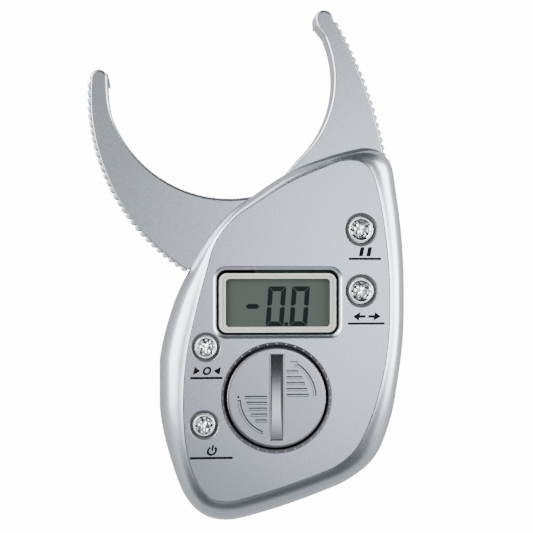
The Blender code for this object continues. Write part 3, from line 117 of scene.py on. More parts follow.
# Openings in the front: how far each ring of the window's lip goes out, and its depth below the front
WINDOW_LIP = 1.7 * MM
WINDOW_CORNER = 3.2 * MM
WINDOW_CLEARANCE = (1.1 * MM, 1.3 * MM)
WINDOW_SHIFT = 0.2 * MM
WINDOW_LIP_SHARES = (
    (0.0, 4.0 * MM), (0.0, 1.5 * MM), (0.22, 0.9 * MM), (0.46, 0.45 * MM), (0.72, 0.16 * MM),
    (0.88, 0.04 * MM), (1.0, 0.0), (1.0, -OVERRUN),
)
# Below these depths the walls of the openings take the near-black finish: painted shade in the deep gaps
# round the display, the door and the buttons
WINDOW_DEEP = 1.1 * MM
BORE_DEEP = 1.4 * MM
RECESS_DEEP = 1.2 * MM
# The sloped rings from this depth down to the deep walls take the dark grey: painted shade on the silver
# recess
PAINTED_SHADE_RIM = 0.2 * MM

# Rings of the openings: growth past the piece in them, and depth below the front
DOOR_BORE = ((0.25 * MM, 4.0 * MM), (0.25 * MM, 1.30 * MM), (1.20 * MM, 0.30 * MM), (1.34 * MM, 0.0),
             (1.34 * MM, -OVERRUN))
BUTTON_BORE = ((0.30 * MM, 4.0 * MM), (0.30 * MM, 1.5 * MM))
BUTTON_SLOPE = ((-0.30 * MM, 0.45 * MM), (-0.05 * MM, 0.12 * MM), (0.25 * MM, 0.0), (0.25 * MM, -OVERRUN))
SCREW_CHAMFER = 0.25 * MM

# The raised panel's edge: inset of each ring, and its depth as a share of the ledge
LEDGE_GROOVE = 0.24 * MM
LEDGE_SHARES = ((0.0, 1.55), (0.10 * MM, 0.40), (0.16 * MM, 0.15), (0.24 * MM, 0.04), (0.38 * MM, 0.0))

# Finish numbers that a cutter's faces leave in a cut; the third finish is painted shade, and in the case's
# openings the inner one is too
OUTER_FINISH, INNER_FINISH, THIRD_FINISH = range(3)

# Jaws: arcs that bound them, in the frame of the pivot
HUB_RADIUS = 9.5 * MM
HUB_ANGLES = (66.0, -108.0)
PIN_BORE = 3.3 * MM
LEG_HOLE = 0.7 * MM
LEG_DEPTH = 2.5 * MM
LEG_PLACE = (6.6 * MM, 150.0)
SCREW_BORE = 1.6 * MM
MOVING = {
    "inner": ((-13.4 * MM, 55.1 * MM), 43.7 * MM),
    "outer": ((9.9 * MM, 47.1 * MM), 71.9 * MM),
    "tip": ((-59.2 * MM, 53.5 * MM), 3.2 * MM),
    "heel_angle": 238.2,
    "swell_angle": 203.0,
    "throat_angle": 284.0,
    "tip_angles": (176.0, -2.0),
    "lead_angle": 1.0,
    "pad_angle": 12.0,
    "pad_proud": 0.35 * MM,
    "pad_side": -90.0,
}
FIXED = {
    "inner": ((-14.2 * MM, 54.0 * MM), 38.3 * MM),
    "outer": ((-105.9 * MM, -0.9 * MM), 150.6 * MM),
    "tip": ((20.8 * MM, 75.63 * MM), 3.4 * MM),
    "heel_angle": 10.2,
    "swell_angle": 24.0,
    "throat_angle": -47.0,
    "tip_angles": (20.0, 200.0),
    "lead_angle": -1.0,
    "pad_angle": 176.0,
    "pad_proud": -0.2 * MM,
    "pad_side": 90.0,
}
FIXED_SHOULDER = (18.5 * MM, 72.4 * MM)
FIXED_THROAT = (6.6 * MM, 19.6 * MM)
ROOT_FLOOR = 8.8 * MM
ROOT_LEFT = 11.5 * MM
ROOT_INSET = 2.3 * MM
RIB_RISE = 1.3 * MM
# The dark band under the ribs, painted shade for the gaps between them: its rise past the jaw's edge and its
# inset from the faces
BAND_RISE = 0.50 * MM
BAND_DEPTH = 1.2 * MM
RIB_PITCH = 2.65 * MM
PAD_RUN = 3.2 * MM
PAD_HEAD = 1.0 * MM
NECK_REACH = 5.0 * MM
PAD_INSET, PAD_ROUND = 1.4 * MM, 0.15 * MM
PAD_SHARES = ((0.2, 1.0, 0.0), (0.8, 1.0, 0.0), (0.95, 0.92, 0.0), (1.0, 0.8, 0.0), (1.0, 0.0, 0.8),
              (0.95, 0.0, 1.0), (0.2, 0.0, 1.0))
RIB_INSET = 0.8 * MM
RIB_END_SHARES = ((0.05, 0.0), (0.66, 0.0), (0.88, 0.10 * MM), (1.0, 0.38 * MM))
OUTER_STEPS, TIP_STEPS, INNER_STEPS = 90, 28, 80
OUTER_ROUND_SHARE = 0.35
PLAIN_ROUND = 0.3 * MM
ROUND_STEPS = 3


class CaliperSizes(bpy.types.PropertyGroup):
    """Sizes that a user would change."""

    ledge_height: FloatProperty(
        name="Ledge height", description="How far the front panel stands out of the bevel",
        default=0.62 * MM, subtype="DISTANCE", unit="LENGTH")
    edge_round: FloatProperty(
        name="Edge round", description="Round on the edges of the jaws",
        default=1.1 * MM, subtype="DISTANCE", unit="LENGTH")
    rib_radius: FloatProperty(
        name="Rib radius", description="Radius of a grip rib",
        default=1.2 * MM, subtype="DISTANCE", unit="LENGTH")
    tick_count: IntProperty(
        name="Tick count", description="Small marks round the battery door", default=36, min=4)
    digit_height: FloatProperty(
        name="Digit height", description="Height of the display's digits",
        default=14.0 * MM, subtype="DISTANCE", unit="LENGTH")


class CaliperFinish(bpy.types.PropertyGroup):
    """Colours that a user would change."""

    silver: FloatVectorProperty(
        name="Silver paint", description="Colour of the case and the jaws", subtype="COLOR",
        size=3, min=0.0, max=1.0, default=(0.50, 0.53, 0.575))
    ink: FloatVectorProperty(
        name="Ink", description="Colour of the printed marks", subtype="COLOR",
        size=3, min=0.0, max=1.0, default=(0.006, 0.006, 0.007))
    bezel: FloatVectorProperty(
        name="Display frame", description="Colour of the frame round the display", subtype="COLOR",
        size=3, min=0.0, max=1.0, default=(0.47, 0.48, 0.44))
    glass: FloatVectorProperty(
        name="Display glass", description="Colour of the resting display", subtype="COLOR",
        size=3, min=0.0, max=1.0, default=(0.042, 0.052, 0.045))


def sizes():
    return bpy.context.scene.caliper_sizes


def finish_of():
    return bpy.context.scene.caliper_finish


# Outlines
def polar(radius, angle, centre=(0.0, 0.0)):
    """A point at an angle in degrees on a circle."""
    turn = math.radians(angle)
    return (centre[0] + radius * math.cos(turn), centre[1] + radius * math.sin(turn))


def arc(centre, radius, start, end, steps):
    """Points along an arc, both ends included."""
    return [polar(radius, start + (end - start) * step / steps, centre) for step in range(steps + 1)]


def angle_from(centre, point):
    return math.degrees(math.atan2(point[1] - centre[1], point[0] - centre[0]))


def smooth_curve(points, steps, closed=True):
    """A smooth curve through stations, by centripetal interpolation."""
    count = len(points)
    curve = []
    spans = range(count) if closed else range(count - 1)
    for index in spans:
        if closed:
            a, b, c, d = (Vector(points[(index + shift) % count]) for shift in (-1, 0, 1, 2))
        else:
            b, c = Vector(points[index]), Vector(points[index + 1])
            a = Vector(points[index - 1]) if index else b * 2 - c
            d = Vector(points[index + 2]) if index + 2 < count else c * 2 - b
        t1 = (b - a).length ** 0.5
        t2 = t1 + (c - b).length ** 0.5
        t3 = t2 + (d - c).length ** 0.5
        for step in range(steps):
            at = t1 + (t2 - t1) * step / steps
            ab = a.lerp(b, at / t1)
            bc = b.lerp(c, (at - t1) / (t2 - t1))
            cd = c.lerp(d, (at - t2) / (t3 - t2))
            abc = ab.lerp(bc, at / t2)
            bcd = bc.lerp(cd, (at - t1) / (t3 - t1))
            curve.append(tuple(abc.lerp(bcd, (at - t1) / (t2 - t1))))
    if not closed:
        curve.append(tuple(points[-1]))
    return curve


def signed_area(points):
    return sum(a[0] * b[1] - b[0] * a[1] for a, b in zip(points, points[1:] + points[:1]))


def offset_in(points, distance):
    """Move a closed outline inwards by a distance."""
    side = 1.0 if signed_area(points) > 0 else -1.0
    moved = []
    for index, point in enumerate(points):
        before, after = Vector(points[index - 1]), Vector(points[(index + 1) % len(points)])
        along = (after - before).normalized()
        moved.append(tuple(Vector(point) + Vector((-along.y, along.x)) * side * distance))
    return moved


def between(outer, inner, share):
    return [tuple(Vector(a).lerp(Vector(b), share)) for a, b in zip(outer, inner)]


def orient(points):
    return points if signed_area(points) > 0 else points[::-1]


def rounded_box(centre, width, height, corner, steps=8):
    """Outline of a rectangle with round corners."""
    points = []
    for quarter, (side_x, side_y) in enumerate(((1, 1), (-1, 1), (-1, -1), (1, -1))):
        middle = (centre[0] + side_x * (width / 2 - corner), centre[1] + side_y * (height / 2 - corner))
        points += arc(middle, corner, 90.0 * quarter, 90.0 * (quarter + 1), steps)
    return points


# Meshes
def new_object(name, shape):
    """Turn a bmesh into an object at the origin with its faces outwards."""
    bmesh.ops.remove_doubles(shape, verts=shape.verts[:], dist=0.001 * MM)
    bmesh.ops.recalc_face_normals(shape, faces=shape.faces[:])
    mesh = bpy.data.meshes.new(name)
    shape.to_mesh(mesh)
    shape.free()
    piece = bpy.data.objects.new(name, mesh)
    bpy.context.scene.collection.objects.link(piece)
    return piece


def add_rings(shape, rings, closed=False):
    """Faces between matching rings of points, capped at the ends or closed on itself."""
    loops = [[shape.verts.new(point) for point in ring] for ring in rings]
    pairs = list(zip(loops, loops[1:]))
    if closed:
        pairs.append((loops[-1], loops[0]))
    for low, high in pairs:
        for index, vertex in enumerate(low):
            after = (index + 1) % len(low)
            shape.faces.new((vertex, low[after], high[after], high[index]))
    if not closed:
        shape.faces.new(loops[0][::-1])
        shape.faces.new(loops[-1])


def loft(name, rings, closed=False):
    shape = bmesh.new()
    add_rings(shape, rings, closed)
    return new_object(name, shape)


def lift(points, height):
    return [(x, y, height) for x, y in points]


def prism(name, points, low, high):
    return loft(name, [lift(points, low), lift(points, high)])


def turned_rings(profile, centre, facets):
    return [lift([polar(radius, 360.0 * facet / facets, centre) for facet in range(facets)], height)
            for radius, height in profile]


def turned(name, profile, centre, facets=96, closed=False):
    """A turned shape from (radius, height) points."""
    return loft(name, turned_rings(profile, centre, facets), closed)


def evaluated(piece):
    """Keep a piece's evaluated shape as its plain mesh."""
    bpy.context.view_layer.update()
    graph = bpy.context.evaluated_depsgraph_get()
    mesh = bpy.data.meshes.new_from_object(piece.evaluated_get(graph))
    piece.modifiers.clear()
    piece.data = mesh
    mesh.name = piece.name
    return piece


def join(name, pieces):
    """Several meshes as one object."""
    slots = len(pieces[0].data.materials)
    shape = bmesh.new()
    for piece in pieces:
        shape.from_mesh(piece.data)
        bpy.data.objects.remove(piece)
    mesh = bpy.data.meshes.new(name)
    shape.to_mesh(mesh)
    shape.free()
    while len(mesh.materials) < slots:
        mesh.materials.append(None)
    joined = bpy.data.objects.new(name, mesh)
    bpy.context.scene.collection.objects.link(joined)
    return joined


def carve(piece, cutters):
    """Cut a set of shapes that don't touch each other out of a piece."""
    tool = join("tool", cutters)
    step = piece.modifiers.new("carve", "BOOLEAN")
    step.operation = "DIFFERENCE"
    step.solver = "EXACT"
    step.object = tool
    evaluated(piece)
    bpy.data.objects.remove(tool)
    return piece


def soften(piece, width, segments=2, angle=35.0):
    """A small round along a piece's sharp edges."""
    edge = piece.modifiers.new("round", "BEVEL")
    edge.width = width
    edge.segments = segments
    edge.limit_method = "ANGLE"
    edge.angle_limit = math.radians(angle)
    edge.use_clamp_overlap = True
    return evaluated(piece)


def shade(piece, angle=30.0):
    """Smooth shading that keeps flat faces flat and edges above an angle sharp."""
    piece.data.shade_smooth()
    piece.data.set_sharp_from_angle(angle=math.radians(angle))
    step = piece.modifiers.new("normals", "WEIGHTED_NORMAL")
    step.mode = "FACE_AREA"
    step.weight = 100
    step.keep_sharp = True
    return evaluated(piece)


def mark_faces(tool, level, number=INNER_FINISH, upper_level=None):
    """Number a cutter's faces by their height; each number leaves its own finish in the cut, and the dark
    finishes that the deeper numbers leave are painted shade.
    """
    while len(tool.data.materials) <= THIRD_FINISH:
        tool.data.materials.append(None)
    for face in tool.data.polygons:
        if face.center.z < level:
            face.material_index = number
        elif upper_level and face.center.z < upper_level:
            face.material_index = THIRD_FINISH
        else:
            face.material_index = OUTER_FINISH
    return tool


def dress(piece, finish, body, slot, *replaced, inner=()):
    """Give a piece its finishes and its place in the frame."""
    numbers = [face.material_index for face in piece.data.polygons]
    piece.data.materials.clear()
    for coat in (finish, *inner):
        piece.data.materials.append(coat)
    if inner:
        piece.data.polygons.foreach_set("material_index", numbers)
    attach(piece, body)
    if replaced:
        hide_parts(*replaced)
    return piece


# Shader groups and materials
def socket(group, name, direction, kind, default=None):
    item = group.interface.new_socket(name=name, in_out=direction, socket_type=kind)
    if default is not None:
        item.default_value = default
    return item


def node(tree, kind, place, **settings):
    made = tree.nodes.new(kind)
    made.location = place
    for key, value in settings.items():
        setattr(made, key, value)
    return made


def maths(tree, place, operation, *terms):
    """A calculation on outputs of other nodes and plain numbers."""
    made = node(tree, "ShaderNodeMath", place, operation=operation)
    for number, term in enumerate(terms):
        if isinstance(term, float):
            made.inputs[number].default_value = term
        else:
            tree.links.new(term, made.inputs[number])
    return made.outputs[0]


def soft_step(tree, place, source, levels):
    """A soft step; its levels are where it starts and ends, and the values there."""
    made = node(tree, "ShaderNodeMapRange", place, interpolation_type="SMOOTHSTEP")
    tree.links.new(source, made.inputs["Value"])
    for key, value in zip(("From Min", "From Max", "To Min", "To Max"), levels):
        made.inputs[key].default_value = value
    return made.outputs["Result"]


def surface_group():
    """Fine speckle, slow unevenness and a light orange peel for painted and moulded surfaces."""
    if "caliper_surface" in bpy.data.node_groups:
        return bpy.data.node_groups["caliper_surface"]
    tree = bpy.data.node_groups.new("caliper_surface", "ShaderNodeTree")
    socket(tree, "Colour", "INPUT", "NodeSocketColor")
    socket(tree, "Speckle", "INPUT", "NodeSocketFloat", 0.1)
    socket(tree, "Speckle Scale", "INPUT", "NodeSocketFloat", 6000.0)
    socket(tree, "Roughness", "INPUT", "NodeSocketFloat", 0.35)
    socket(tree, "Bump", "INPUT", "NodeSocketFloat", 0.05)
    socket(tree, "Bump Scale", "INPUT", "NodeSocketFloat", 2500.0)
    socket(tree, "Colour", "OUTPUT", "NodeSocketColor")
    socket(tree, "Roughness", "OUTPUT", "NodeSocketFloat")
    socket(tree, "Normal", "OUTPUT", "NodeSocketVector")
    entry = node(tree, "NodeGroupInput", (-900, 0))
    leave = node(tree, "NodeGroupOutput", (700, 0))
    place = node(tree, "ShaderNodeTexCoord", (-900, -300))
    speck = node(tree, "ShaderNodeTexNoise", (-600, 200))
    speck.inputs["Detail"].default_value = 2.0
    cloud = node(tree, "ShaderNodeTexNoise", (-600, -100))
    cloud.inputs["Scale"].default_value = 45.0
    peel = node(tree, "ShaderNodeTexNoise", (-600, -400))
    peel.inputs["Detail"].default_value = 3.0
    link = tree.links.new
    for texture in (speck, cloud, peel):
        link(place.outputs["Object"], texture.inputs["Vector"])
    link(entry.outputs["Speckle Scale"], speck.inputs["Scale"])
    link(entry.outputs["Bump Scale"], peel.inputs["Scale"])
    centred = maths(tree, (-400, 200), "SUBTRACT", speck.outputs["Fac"], 0.5)
    strength = maths(tree, (-200, 200), "MULTIPLY_ADD", centred, entry.outputs["Speckle"], 1.0)
    slow = node(tree, "ShaderNodeMapRange", (-400, -100))
    slow.inputs["To Min"].default_value = 0.97
    slow.inputs["To Max"].default_value = 1.03
    link(cloud.outputs["Fac"], slow.inputs["Value"])
    tint = node(tree, "ShaderNodeVectorMath", (200, 100), operation="SCALE")
    link(entry.outputs["Colour"], tint.inputs[0])
    link(maths(tree, (0, 100), "MULTIPLY", strength, slow.outputs["Result"]), tint.inputs["Scale"])
    link(tint.outputs[0], leave.inputs["Colour"])
    rough = maths(tree, (200, -100), "MULTIPLY", entry.outputs["Roughness"], slow.outputs["Result"])
    link(rough, leave.inputs["Roughness"])
    bump = node(tree, "ShaderNodeBump", (200, -300))
    bump.inputs["Distance"].default_value = 0.02 * MM
    link(peel.outputs["Fac"], bump.inputs["Height"])
    link(entry.outputs["Bump"], bump.inputs["Strength"])
    link(bump.outputs["Normal"], leave.inputs["Normal"])
    return tree


def new_material(name):
    finish = bpy.data.materials.new(name)
    finish.use_nodes = True
    return finish, finish.node_tree, finish.node_tree.nodes["Principled BSDF"]


def surface(name, colour, roughness, metallic=0.0, speckle=0.08, speckle_scale=6000.0, bump=0.06,
            bump_scale=2500.0, specular=0.5):
    """A painted, moulded or metal finish with fine variation."""
    if name in bpy.data.materials:
        return bpy.data.materials[name]
    finish, tree, shader = new_material(name)
    effect = node(tree, "ShaderNodeGroup", (-300, 0))
    effect.node_tree = surface_group()
    effect.inputs["Colour"].default_value = (*colour, 1.0)
    effect.inputs["Speckle"].default_value = speckle
    effect.inputs["Speckle Scale"].default_value = speckle_scale
    effect.inputs["Roughness"].default_value = roughness
    effect.inputs["Bump"].default_value = bump
    effect.inputs["Bump Scale"].default_value = bump_scale
    tree.links.new(effect.outputs["Colour"], shader.inputs["Base Color"])
    tree.links.new(effect.outputs["Roughness"], shader.inputs["Roughness"])
    tree.links.new(effect.outputs["Normal"], shader.inputs["Normal"])
    shader.inputs["Metallic"].default_value = metallic
    shader.inputs["Specular IOR Level"].default_value = specular
    return finish


def silver_paint():
    return surface("silver_paint", tuple(finish_of().silver), 0.25, metallic=0.97, speckle=0.34,
                   speckle_scale=1500.0, bump=0.10, bump_scale=1500.0)


# Near-black moulding: the real bare plastic inside the case, and painted shade on the deep walls of the
# openings and the jaw slot
def bare_moulding():
    return surface("bare_moulding", (0.012, 0.012, 0.013), 0.6, speckle=0.15, bump=0.2, specular=0.06)


# Dark grey for the sloped rings round the door and the buttons: painted shade where the silver paint of the
# recess shows dark
def recess_grey():
    return surface("recess_grey", (0.11, 0.11, 0.115), 0.4, metallic=0.5, speckle=0.15, specular=0.2)


def door_paint():
    return surface("pale_silver_plastic", (0.42, 0.445, 0.48), 0.25, metallic=0.96, speckle=0.14,
                   speckle_scale=1500.0)


def ink():
    return surface("black_ink", tuple(finish_of().ink), 0.8, speckle=0.3, bump=0.02, specular=0.0)


def bezel_plastic():
    return surface("pale_frame_plastic", tuple(finish_of().bezel), 0.38, speckle=0.05, bump=0.08)


def jewel_material():
    if "clear_jewel" in bpy.data.materials:
        return bpy.data.materials["clear_jewel"]
    finish, tree, shader = new_material("clear_jewel")
    shader.inputs["Base Color"].default_value = (0.97, 0.98, 1.0, 1.0)
    shader.inputs["IOR"].default_value = 1.6
    shader.inputs["Transmission Weight"].default_value = 1.0
    tint = node(tree, "ShaderNodeTexNoise", (-500, 0))
    tint.inputs["Scale"].default_value = 1800.0
    place = node(tree, "ShaderNodeTexCoord", (-700, 0))
    ramp = node(tree, "ShaderNodeMapRange", (-300, 0))
    ramp.inputs["To Min"].default_value = 0.004
    ramp.inputs["To Max"].default_value = 0.03
    tree.links.new(place.outputs["Object"], tint.inputs["Vector"])
    tree.links.new(tint.outputs["Fac"], ramp.inputs["Value"])
    tree.links.new(ramp.outputs["Result"], shader.inputs["Roughness"])
    return finish


# Case
def place_share(share_x, share_y):
    """A point of the outline table in the frame of the pivot; the case's own box gives its size."""
    left, bottom = CASE_LOW.x, CASE_LOW.y
    right, top = CASE_HIGH.x, CASE_HIGH.y
    return (left + share_x * (right - left), bottom + share_y * (top - bottom))


WAIST = smooth_curve([place_share(row[0], row[1]) for row in CASE_SHARES], OUTLINE_STEPS)
FACE = smooth_curve([place_share(row[2], row[3]) for row in CASE_SHARES], OUTLINE_STEPS)
TURNOVER = smooth_curve(TURNOVER_SHARES, TURNOVER_STEPS, closed=False)


def keep_inside(points):
    """Hold a smooth outline inside the box of the solid case."""
    return [(min(max(x, CASE_LOW.x), CASE_HIGH.x), min(max(y, CASE_LOW.y), CASE_HIGH.y)) for x, y in points]


def case_rings(parting, flat_height, inset_share, wall):
    waist = keep_inside(offset_in(WAIST, wall))
    flat = offset_in(FACE, wall / 2)
    return [lift(between(waist, flat, share_in * inset_share), parting + (flat_height - parting) * share_up)
            for share_in, share_up in TURNOVER]


def slot_tool():
    """The wide slot that the jaws leave through."""
    outline = [(0.0, 0.0)] + arc((0.0, 0.0), SLOT_REACH, *SLOT_ANGLES, 24)
    return prism("slot", orient(outline), JAW_LOW.z - GAP, JAW_HIGH.z + GAP)


def front_shell():
    """The front half: a round side, a fine groove and the raised flat panel."""
    ledge = sizes().ledge_height
    top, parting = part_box("front_cover")[1].z, BACK_HIGH.z + GAP
    rings = case_rings(parting, top - ledge, 1.0, 0.0)
    rings[-1] = lift(offset_in(FACE, -LEDGE_GROOVE), top - ledge)
    for inset, drop_share in LEDGE_SHARES:
        rings.append(lift(offset_in(FACE, inset), top - drop_share * ledge))
    return loft("front_shell", rings)


def door_bore_profile(top):
    """The bore round the battery door: straight below, then a sloped ring."""
    radius = (DOOR_HIGH.x - DOOR_LOW.x) / 2
    return [(radius + grow, top - depth) for grow, depth in DOOR_BORE]


def recess_profile(rim, recess, top):
    """The recess round a button: straight below, then a sloped ring with a broken edge."""
    below = [(rim + grow, top - depth) for grow, depth in BUTTON_BORE]
    return below + [(recess + grow, top - depth) for grow, depth in BUTTON_SLOPE]


def window_tool(top):
    """The opening over the display, with a lip that rolls over into the flat front."""
    middle = (LCD_CENTRE[0], LCD_CENTRE[1] + WINDOW_SHIFT)
    width = BEZEL_HIGH.x - BEZEL_LOW.x + WINDOW_CLEARANCE[0]
    height = BEZEL_HIGH.y - BEZEL_LOW.y + WINDOW_CLEARANCE[1]
    rings = []
    for share, depth in WINDOW_LIP_SHARES:
        grow = WINDOW_LIP * share
        outline = rounded_box(middle, width + 2 * grow, height + 2 * grow, WINDOW_CORNER + grow * 0.8)
        rings.append(lift(outline, top - depth))
    return loft("window", rings)


class CALIPER_OT_case(bpy.types.Operator):
    """Build the painted case halves with their recesses"""

    bl_idname = "caliper.case"
    bl_label = "Case"

    def execute(self, context):
        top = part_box("front_cover")[1].z
        high = top + OVERRUN
        cover = mark_faces(front_shell(), 0.0)
        cavity = mark_faces(loft("cavity", case_rings(BACK_HIGH.z - OVERRUN, top - WALL, 1.0, WALL)), high)
        carve(cover, [cavity])
        bore = turned("bore", door_bore_profile(top), DOOR_CENTRE, 144)
        tools = [mark_faces(window_tool(top), top - WINDOW_DEEP),
                 mark_faces(bore, top - BORE_DEEP, upper_level=top - PAINTED_SHADE_RIM)]
        for name in BUTTON_NAMES:
            profile = recess_profile(RIM_RADII[name], RECESS_RADII[name], top)
            hole = turned("hole", profile, BUTTON_CENTRES[name], 64)
            tools.append(mark_faces(hole, top - RECESS_DEEP, upper_level=top - PAINTED_SHADE_RIM))
        carve(cover, tools)
        carve(cover, [mark_faces(slot_tool(), high)])
        shade(cover, 28.0)
        cover.name = "case_front"
        # Inner finishes of the cuts: near-black moulding, real bare plastic inside and painted shade in the
        # openings, and the dark grey painted shade of the sloped rings
        inner = (bare_moulding(), recess_grey())
        dress(cover, silver_paint(), "case", "front_cover", "front_cover", inner=inner)

        back = mark_faces(loft("case_back", case_rings(BACK_HIGH.z, 0.0, BACK_INSET_SHARE, 0.0)), -OVERRUN)
        hollow = loft("cavity", case_rings(BACK_HIGH.z + OVERRUN, WALL, BACK_INSET_SHARE, WALL))
        carve(back, [mark_faces(hollow, high)])
        tools = []
        for screw_node in SCREW_NODES:
            low, high_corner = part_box(screw_node)
            middle = ((low.x + high_corner.x) / 2, (low.y + high_corner.y) / 2)
            radius = (high_corner.x - low.x) / 2 + GAP
            mouth = radius + SCREW_CHAMFER
            profile = [(mouth, -OVERRUN), (mouth, 0.0), (radius, SCREW_CHAMFER), (radius, WALL + OVERRUN)]
            tools.append(mark_faces(turned("bore", profile, middle, 48), -OVERRUN))
        carve(back, tools)
        carve(back, [mark_faces(slot_tool(), high)])
        shade(back, 28.0)
        dress(back, silver_paint(), "case", "rear_cover", "rear_cover", inner=(bare_moulding(),))
        return {"FINISHED"}


# Jaws
def jaw_plate(name, outline, rounds):
    """A plate whose upper and lower edges are rounded by a distance for each point of its outline."""
    rings = []
    leans = [math.radians(90.0 * step / ROUND_STEPS) for step in range(ROUND_STEPS + 1)]
    for side, lean in [(-1, lean) for lean in reversed(leans)] + [(1, lean) for lean in leans]:
        ring = []
        for index, point in enumerate(outline):
            before, after = Vector(outline[index - 1]), Vector(outline[(index + 1) % len(outline)])
            along = (after - before).normalized()
            inset = rounds[index] * (1.0 - math.cos(lean))
            drop = rounds[index] * (1.0 - math.sin(lean))
            level = JAW_HIGH.z - drop if side > 0 else JAW_LOW.z + drop
            ring.append((point[0] - along.y * inset, point[1] + along.x * inset, level))
        rings.append(ring)
    return loft(name, rings)


def bridge(start, heading, end, arrival, reach, steps=12):
    """A smooth curve between two points with given headings."""
    a, d = Vector(start), Vector(end)
    b, c = a + Vector(heading) * reach, d - Vector(arrival) * reach
    curve = []
    for step in range(1, steps):
        t = step / steps
        near, far = a * (1 - t) + b * 3 * t, c * 3 * (1 - t) + d * t
        curve.append(tuple(near * (1 - t) ** 2 + far * t ** 2))
    return curve


def tip_pad(jaw):
    """The raised contact pad on the inner side of a tip."""
    centre, radius = jaw["tip"]
    out = radius + jaw["pad_proud"]
    facing = Vector(polar(out, jaw["pad_angle"]))
    down = Vector(polar(PAD_RUN, jaw["pad_angle"] + jaw["pad_side"]))
    up = Vector(polar(PAD_HEAD, jaw["pad_angle"] - jaw["pad_side"]))
    middle = Vector(centre)
    outline = [tuple(middle + facing * out_share + down * down_share + up * up_share)
               for out_share, down_share, up_share in PAD_SHARES]
    pad = prism("pad", orient(outline), JAW_LOW.z + PAD_INSET, JAW_HIGH.z - PAD_INSET)
    return soften(pad, PAD_ROUND, 2, 30.0)


def arc_tree(name, bead, paint):
    """Node tree: copies of a small body set upright along an arc."""
    tree = bpy.data.node_groups.new(name, "GeometryNodeTree")
    socket(tree, "Radius", "INPUT", "NodeSocketFloat")
    socket(tree, "Start Angle", "INPUT", "NodeSocketFloat")
    socket(tree, "Sweep Angle", "INPUT", "NodeSocketFloat")
    socket(tree, "Count", "INPUT", "NodeSocketInt")
    socket(tree, "Centre", "INPUT", "NodeSocketVector")
    socket(tree, "Geometry", "OUTPUT", "NodeSocketGeometry")
    entry = node(tree, "NodeGroupInput", (-900, 0))
    leave = node(tree, "NodeGroupOutput", (900, 0))
    path = node(tree, "GeometryNodeCurveArc", (-650, 0))
    path.inputs["Resolution"].default_value = 128
    points = node(tree, "GeometryNodeCurveToPoints", (-400, 0), mode="COUNT")
    shape = node(tree, "GeometryNodeObjectInfo", (-400, -250))
    shape.inputs["Object"].default_value = bead
    place = node(tree, "GeometryNodeInstanceOnPoints", (-150, 0))
    shift = node(tree, "GeometryNodeTransform", (100, 0))
    real = node(tree, "GeometryNodeRealizeInstances", (350, 0))
    coat = node(tree, "GeometryNodeSetMaterial", (600, 0))
    coat.inputs["Material"].default_value = paint
    turn = node(tree, "ShaderNodeSeparateXYZ", (-400, -450))
    upright = node(tree, "ShaderNodeCombineXYZ", (0, -450))
    link = tree.links.new
    for label in ("Radius", "Start Angle", "Sweep Angle"):
        link(entry.outputs[label], path.inputs[label])
    link(path.outputs["Curve"], points.inputs["Curve"])
    link(entry.outputs["Count"], points.inputs["Count"])
    link(points.outputs["Points"], place.inputs["Points"])
    link(shape.outputs["Geometry"], place.inputs["Instance"])
    link(points.outputs["Tangent"], turn.inputs[0])
    link(maths(tree, (-200, -450), "ARCTAN2", turn.outputs["Y"], turn.outputs["X"]), upright.inputs["Z"])
    link(upright.outputs[0], place.inputs["Rotation"])
    link(place.outputs["Instances"], shift.inputs["Geometry"])
    link(entry.outputs["Centre"], shift.inputs["Translation"])
    link(shift.outputs["Geometry"], real.inputs["Geometry"])
    link(real.outputs["Geometry"], coat.inputs["Geometry"])
    link(coat.outputs["Geometry"], leave.inputs["Geometry"])
    return tree


def run_tree(name, tree, mesh=None, **values):
    """Run a node tree on a mesh, an empty one if none is given, and keep the result as a plain mesh."""
    holder = bpy.data.objects.new(name, mesh or bpy.data.meshes.new(name))
    bpy.context.scene.collection.objects.link(holder)
    step = holder.modifiers.new("nodes", "NODES")
    step.node_group = tree
    keys = {item.name: item.identifier for item in tree.interface.items_tree
            if item.item_type == "SOCKET" and item.in_out == "INPUT"}
    for key, value in values.items():
        step[keys[key.replace("_", " ").title()]] = value
    return evaluated(holder)


def rib_bead():
    """One grip rib: an upright half-round bar with round ends."""
    radius = sizes().rib_radius
    low, high = JAW_LOW.z + RIB_INSET, JAW_HIGH.z - RIB_INSET
    profile = [(radius * share, low + step) for share, step in RIB_END_SHARES]
    profile += [(radius * share, high - step) for share, step in reversed(RIB_END_SHARES)]
    return turned("bead", profile, (0.0, 0.0), 20)


def jaw_ribs(name, jaw, tree):
    centre, radius = jaw["outer"]
    tip_angle = angle_from(centre, jaw["tip"][0]) + jaw["lead_angle"]
    heel = jaw["heel_angle"]
    count = int(abs(math.radians(tip_angle - heel)) * radius / RIB_PITCH)
    step = (tip_angle - heel) / count
    crest = radius + RIB_RISE - sizes().rib_radius
    start, sweep = heel + step / 2, step * (count - 1)
    return run_tree(name, tree, radius=crest, start_angle=math.radians(start),
                    sweep_angle=math.radians(sweep), count=count, centre=(*centre, 0.0))


def moving_outline(outer, tip, inner, fine, wide):
    """The moving jaw's outline with the round of each point, and the cutters for its two holes."""
    neck = bridge(tip[-1], (0.0, -1.0), inner[0], polar(1.0, MOVING["swell_angle"] + 90.0), NECK_REACH)
    hub = arc((0.0, 0.0), HUB_RADIUS, *HUB_ANGLES, 40)
    outline = outer + tip + neck + inner + hub
    rounds = [fine] * len(outer) + [wide] * len(tip + neck + inner) + [PLAIN_ROUND] * len(hub)
    above = JAW_HIGH.z + OVERRUN
    bore = turned("bore", [(PIN_BORE, JAW_LOW.z - OVERRUN), (PIN_BORE, above)], (0.0, 0.0), 48)
    leg_profile = [(LEG_HOLE, JAW_HIGH.z - LEG_DEPTH), (LEG_HOLE, above)]
    leg_hole = turned("leg_hole", leg_profile, polar(*LEG_PLACE), 16)
    return outline, rounds, [bore, leg_hole]


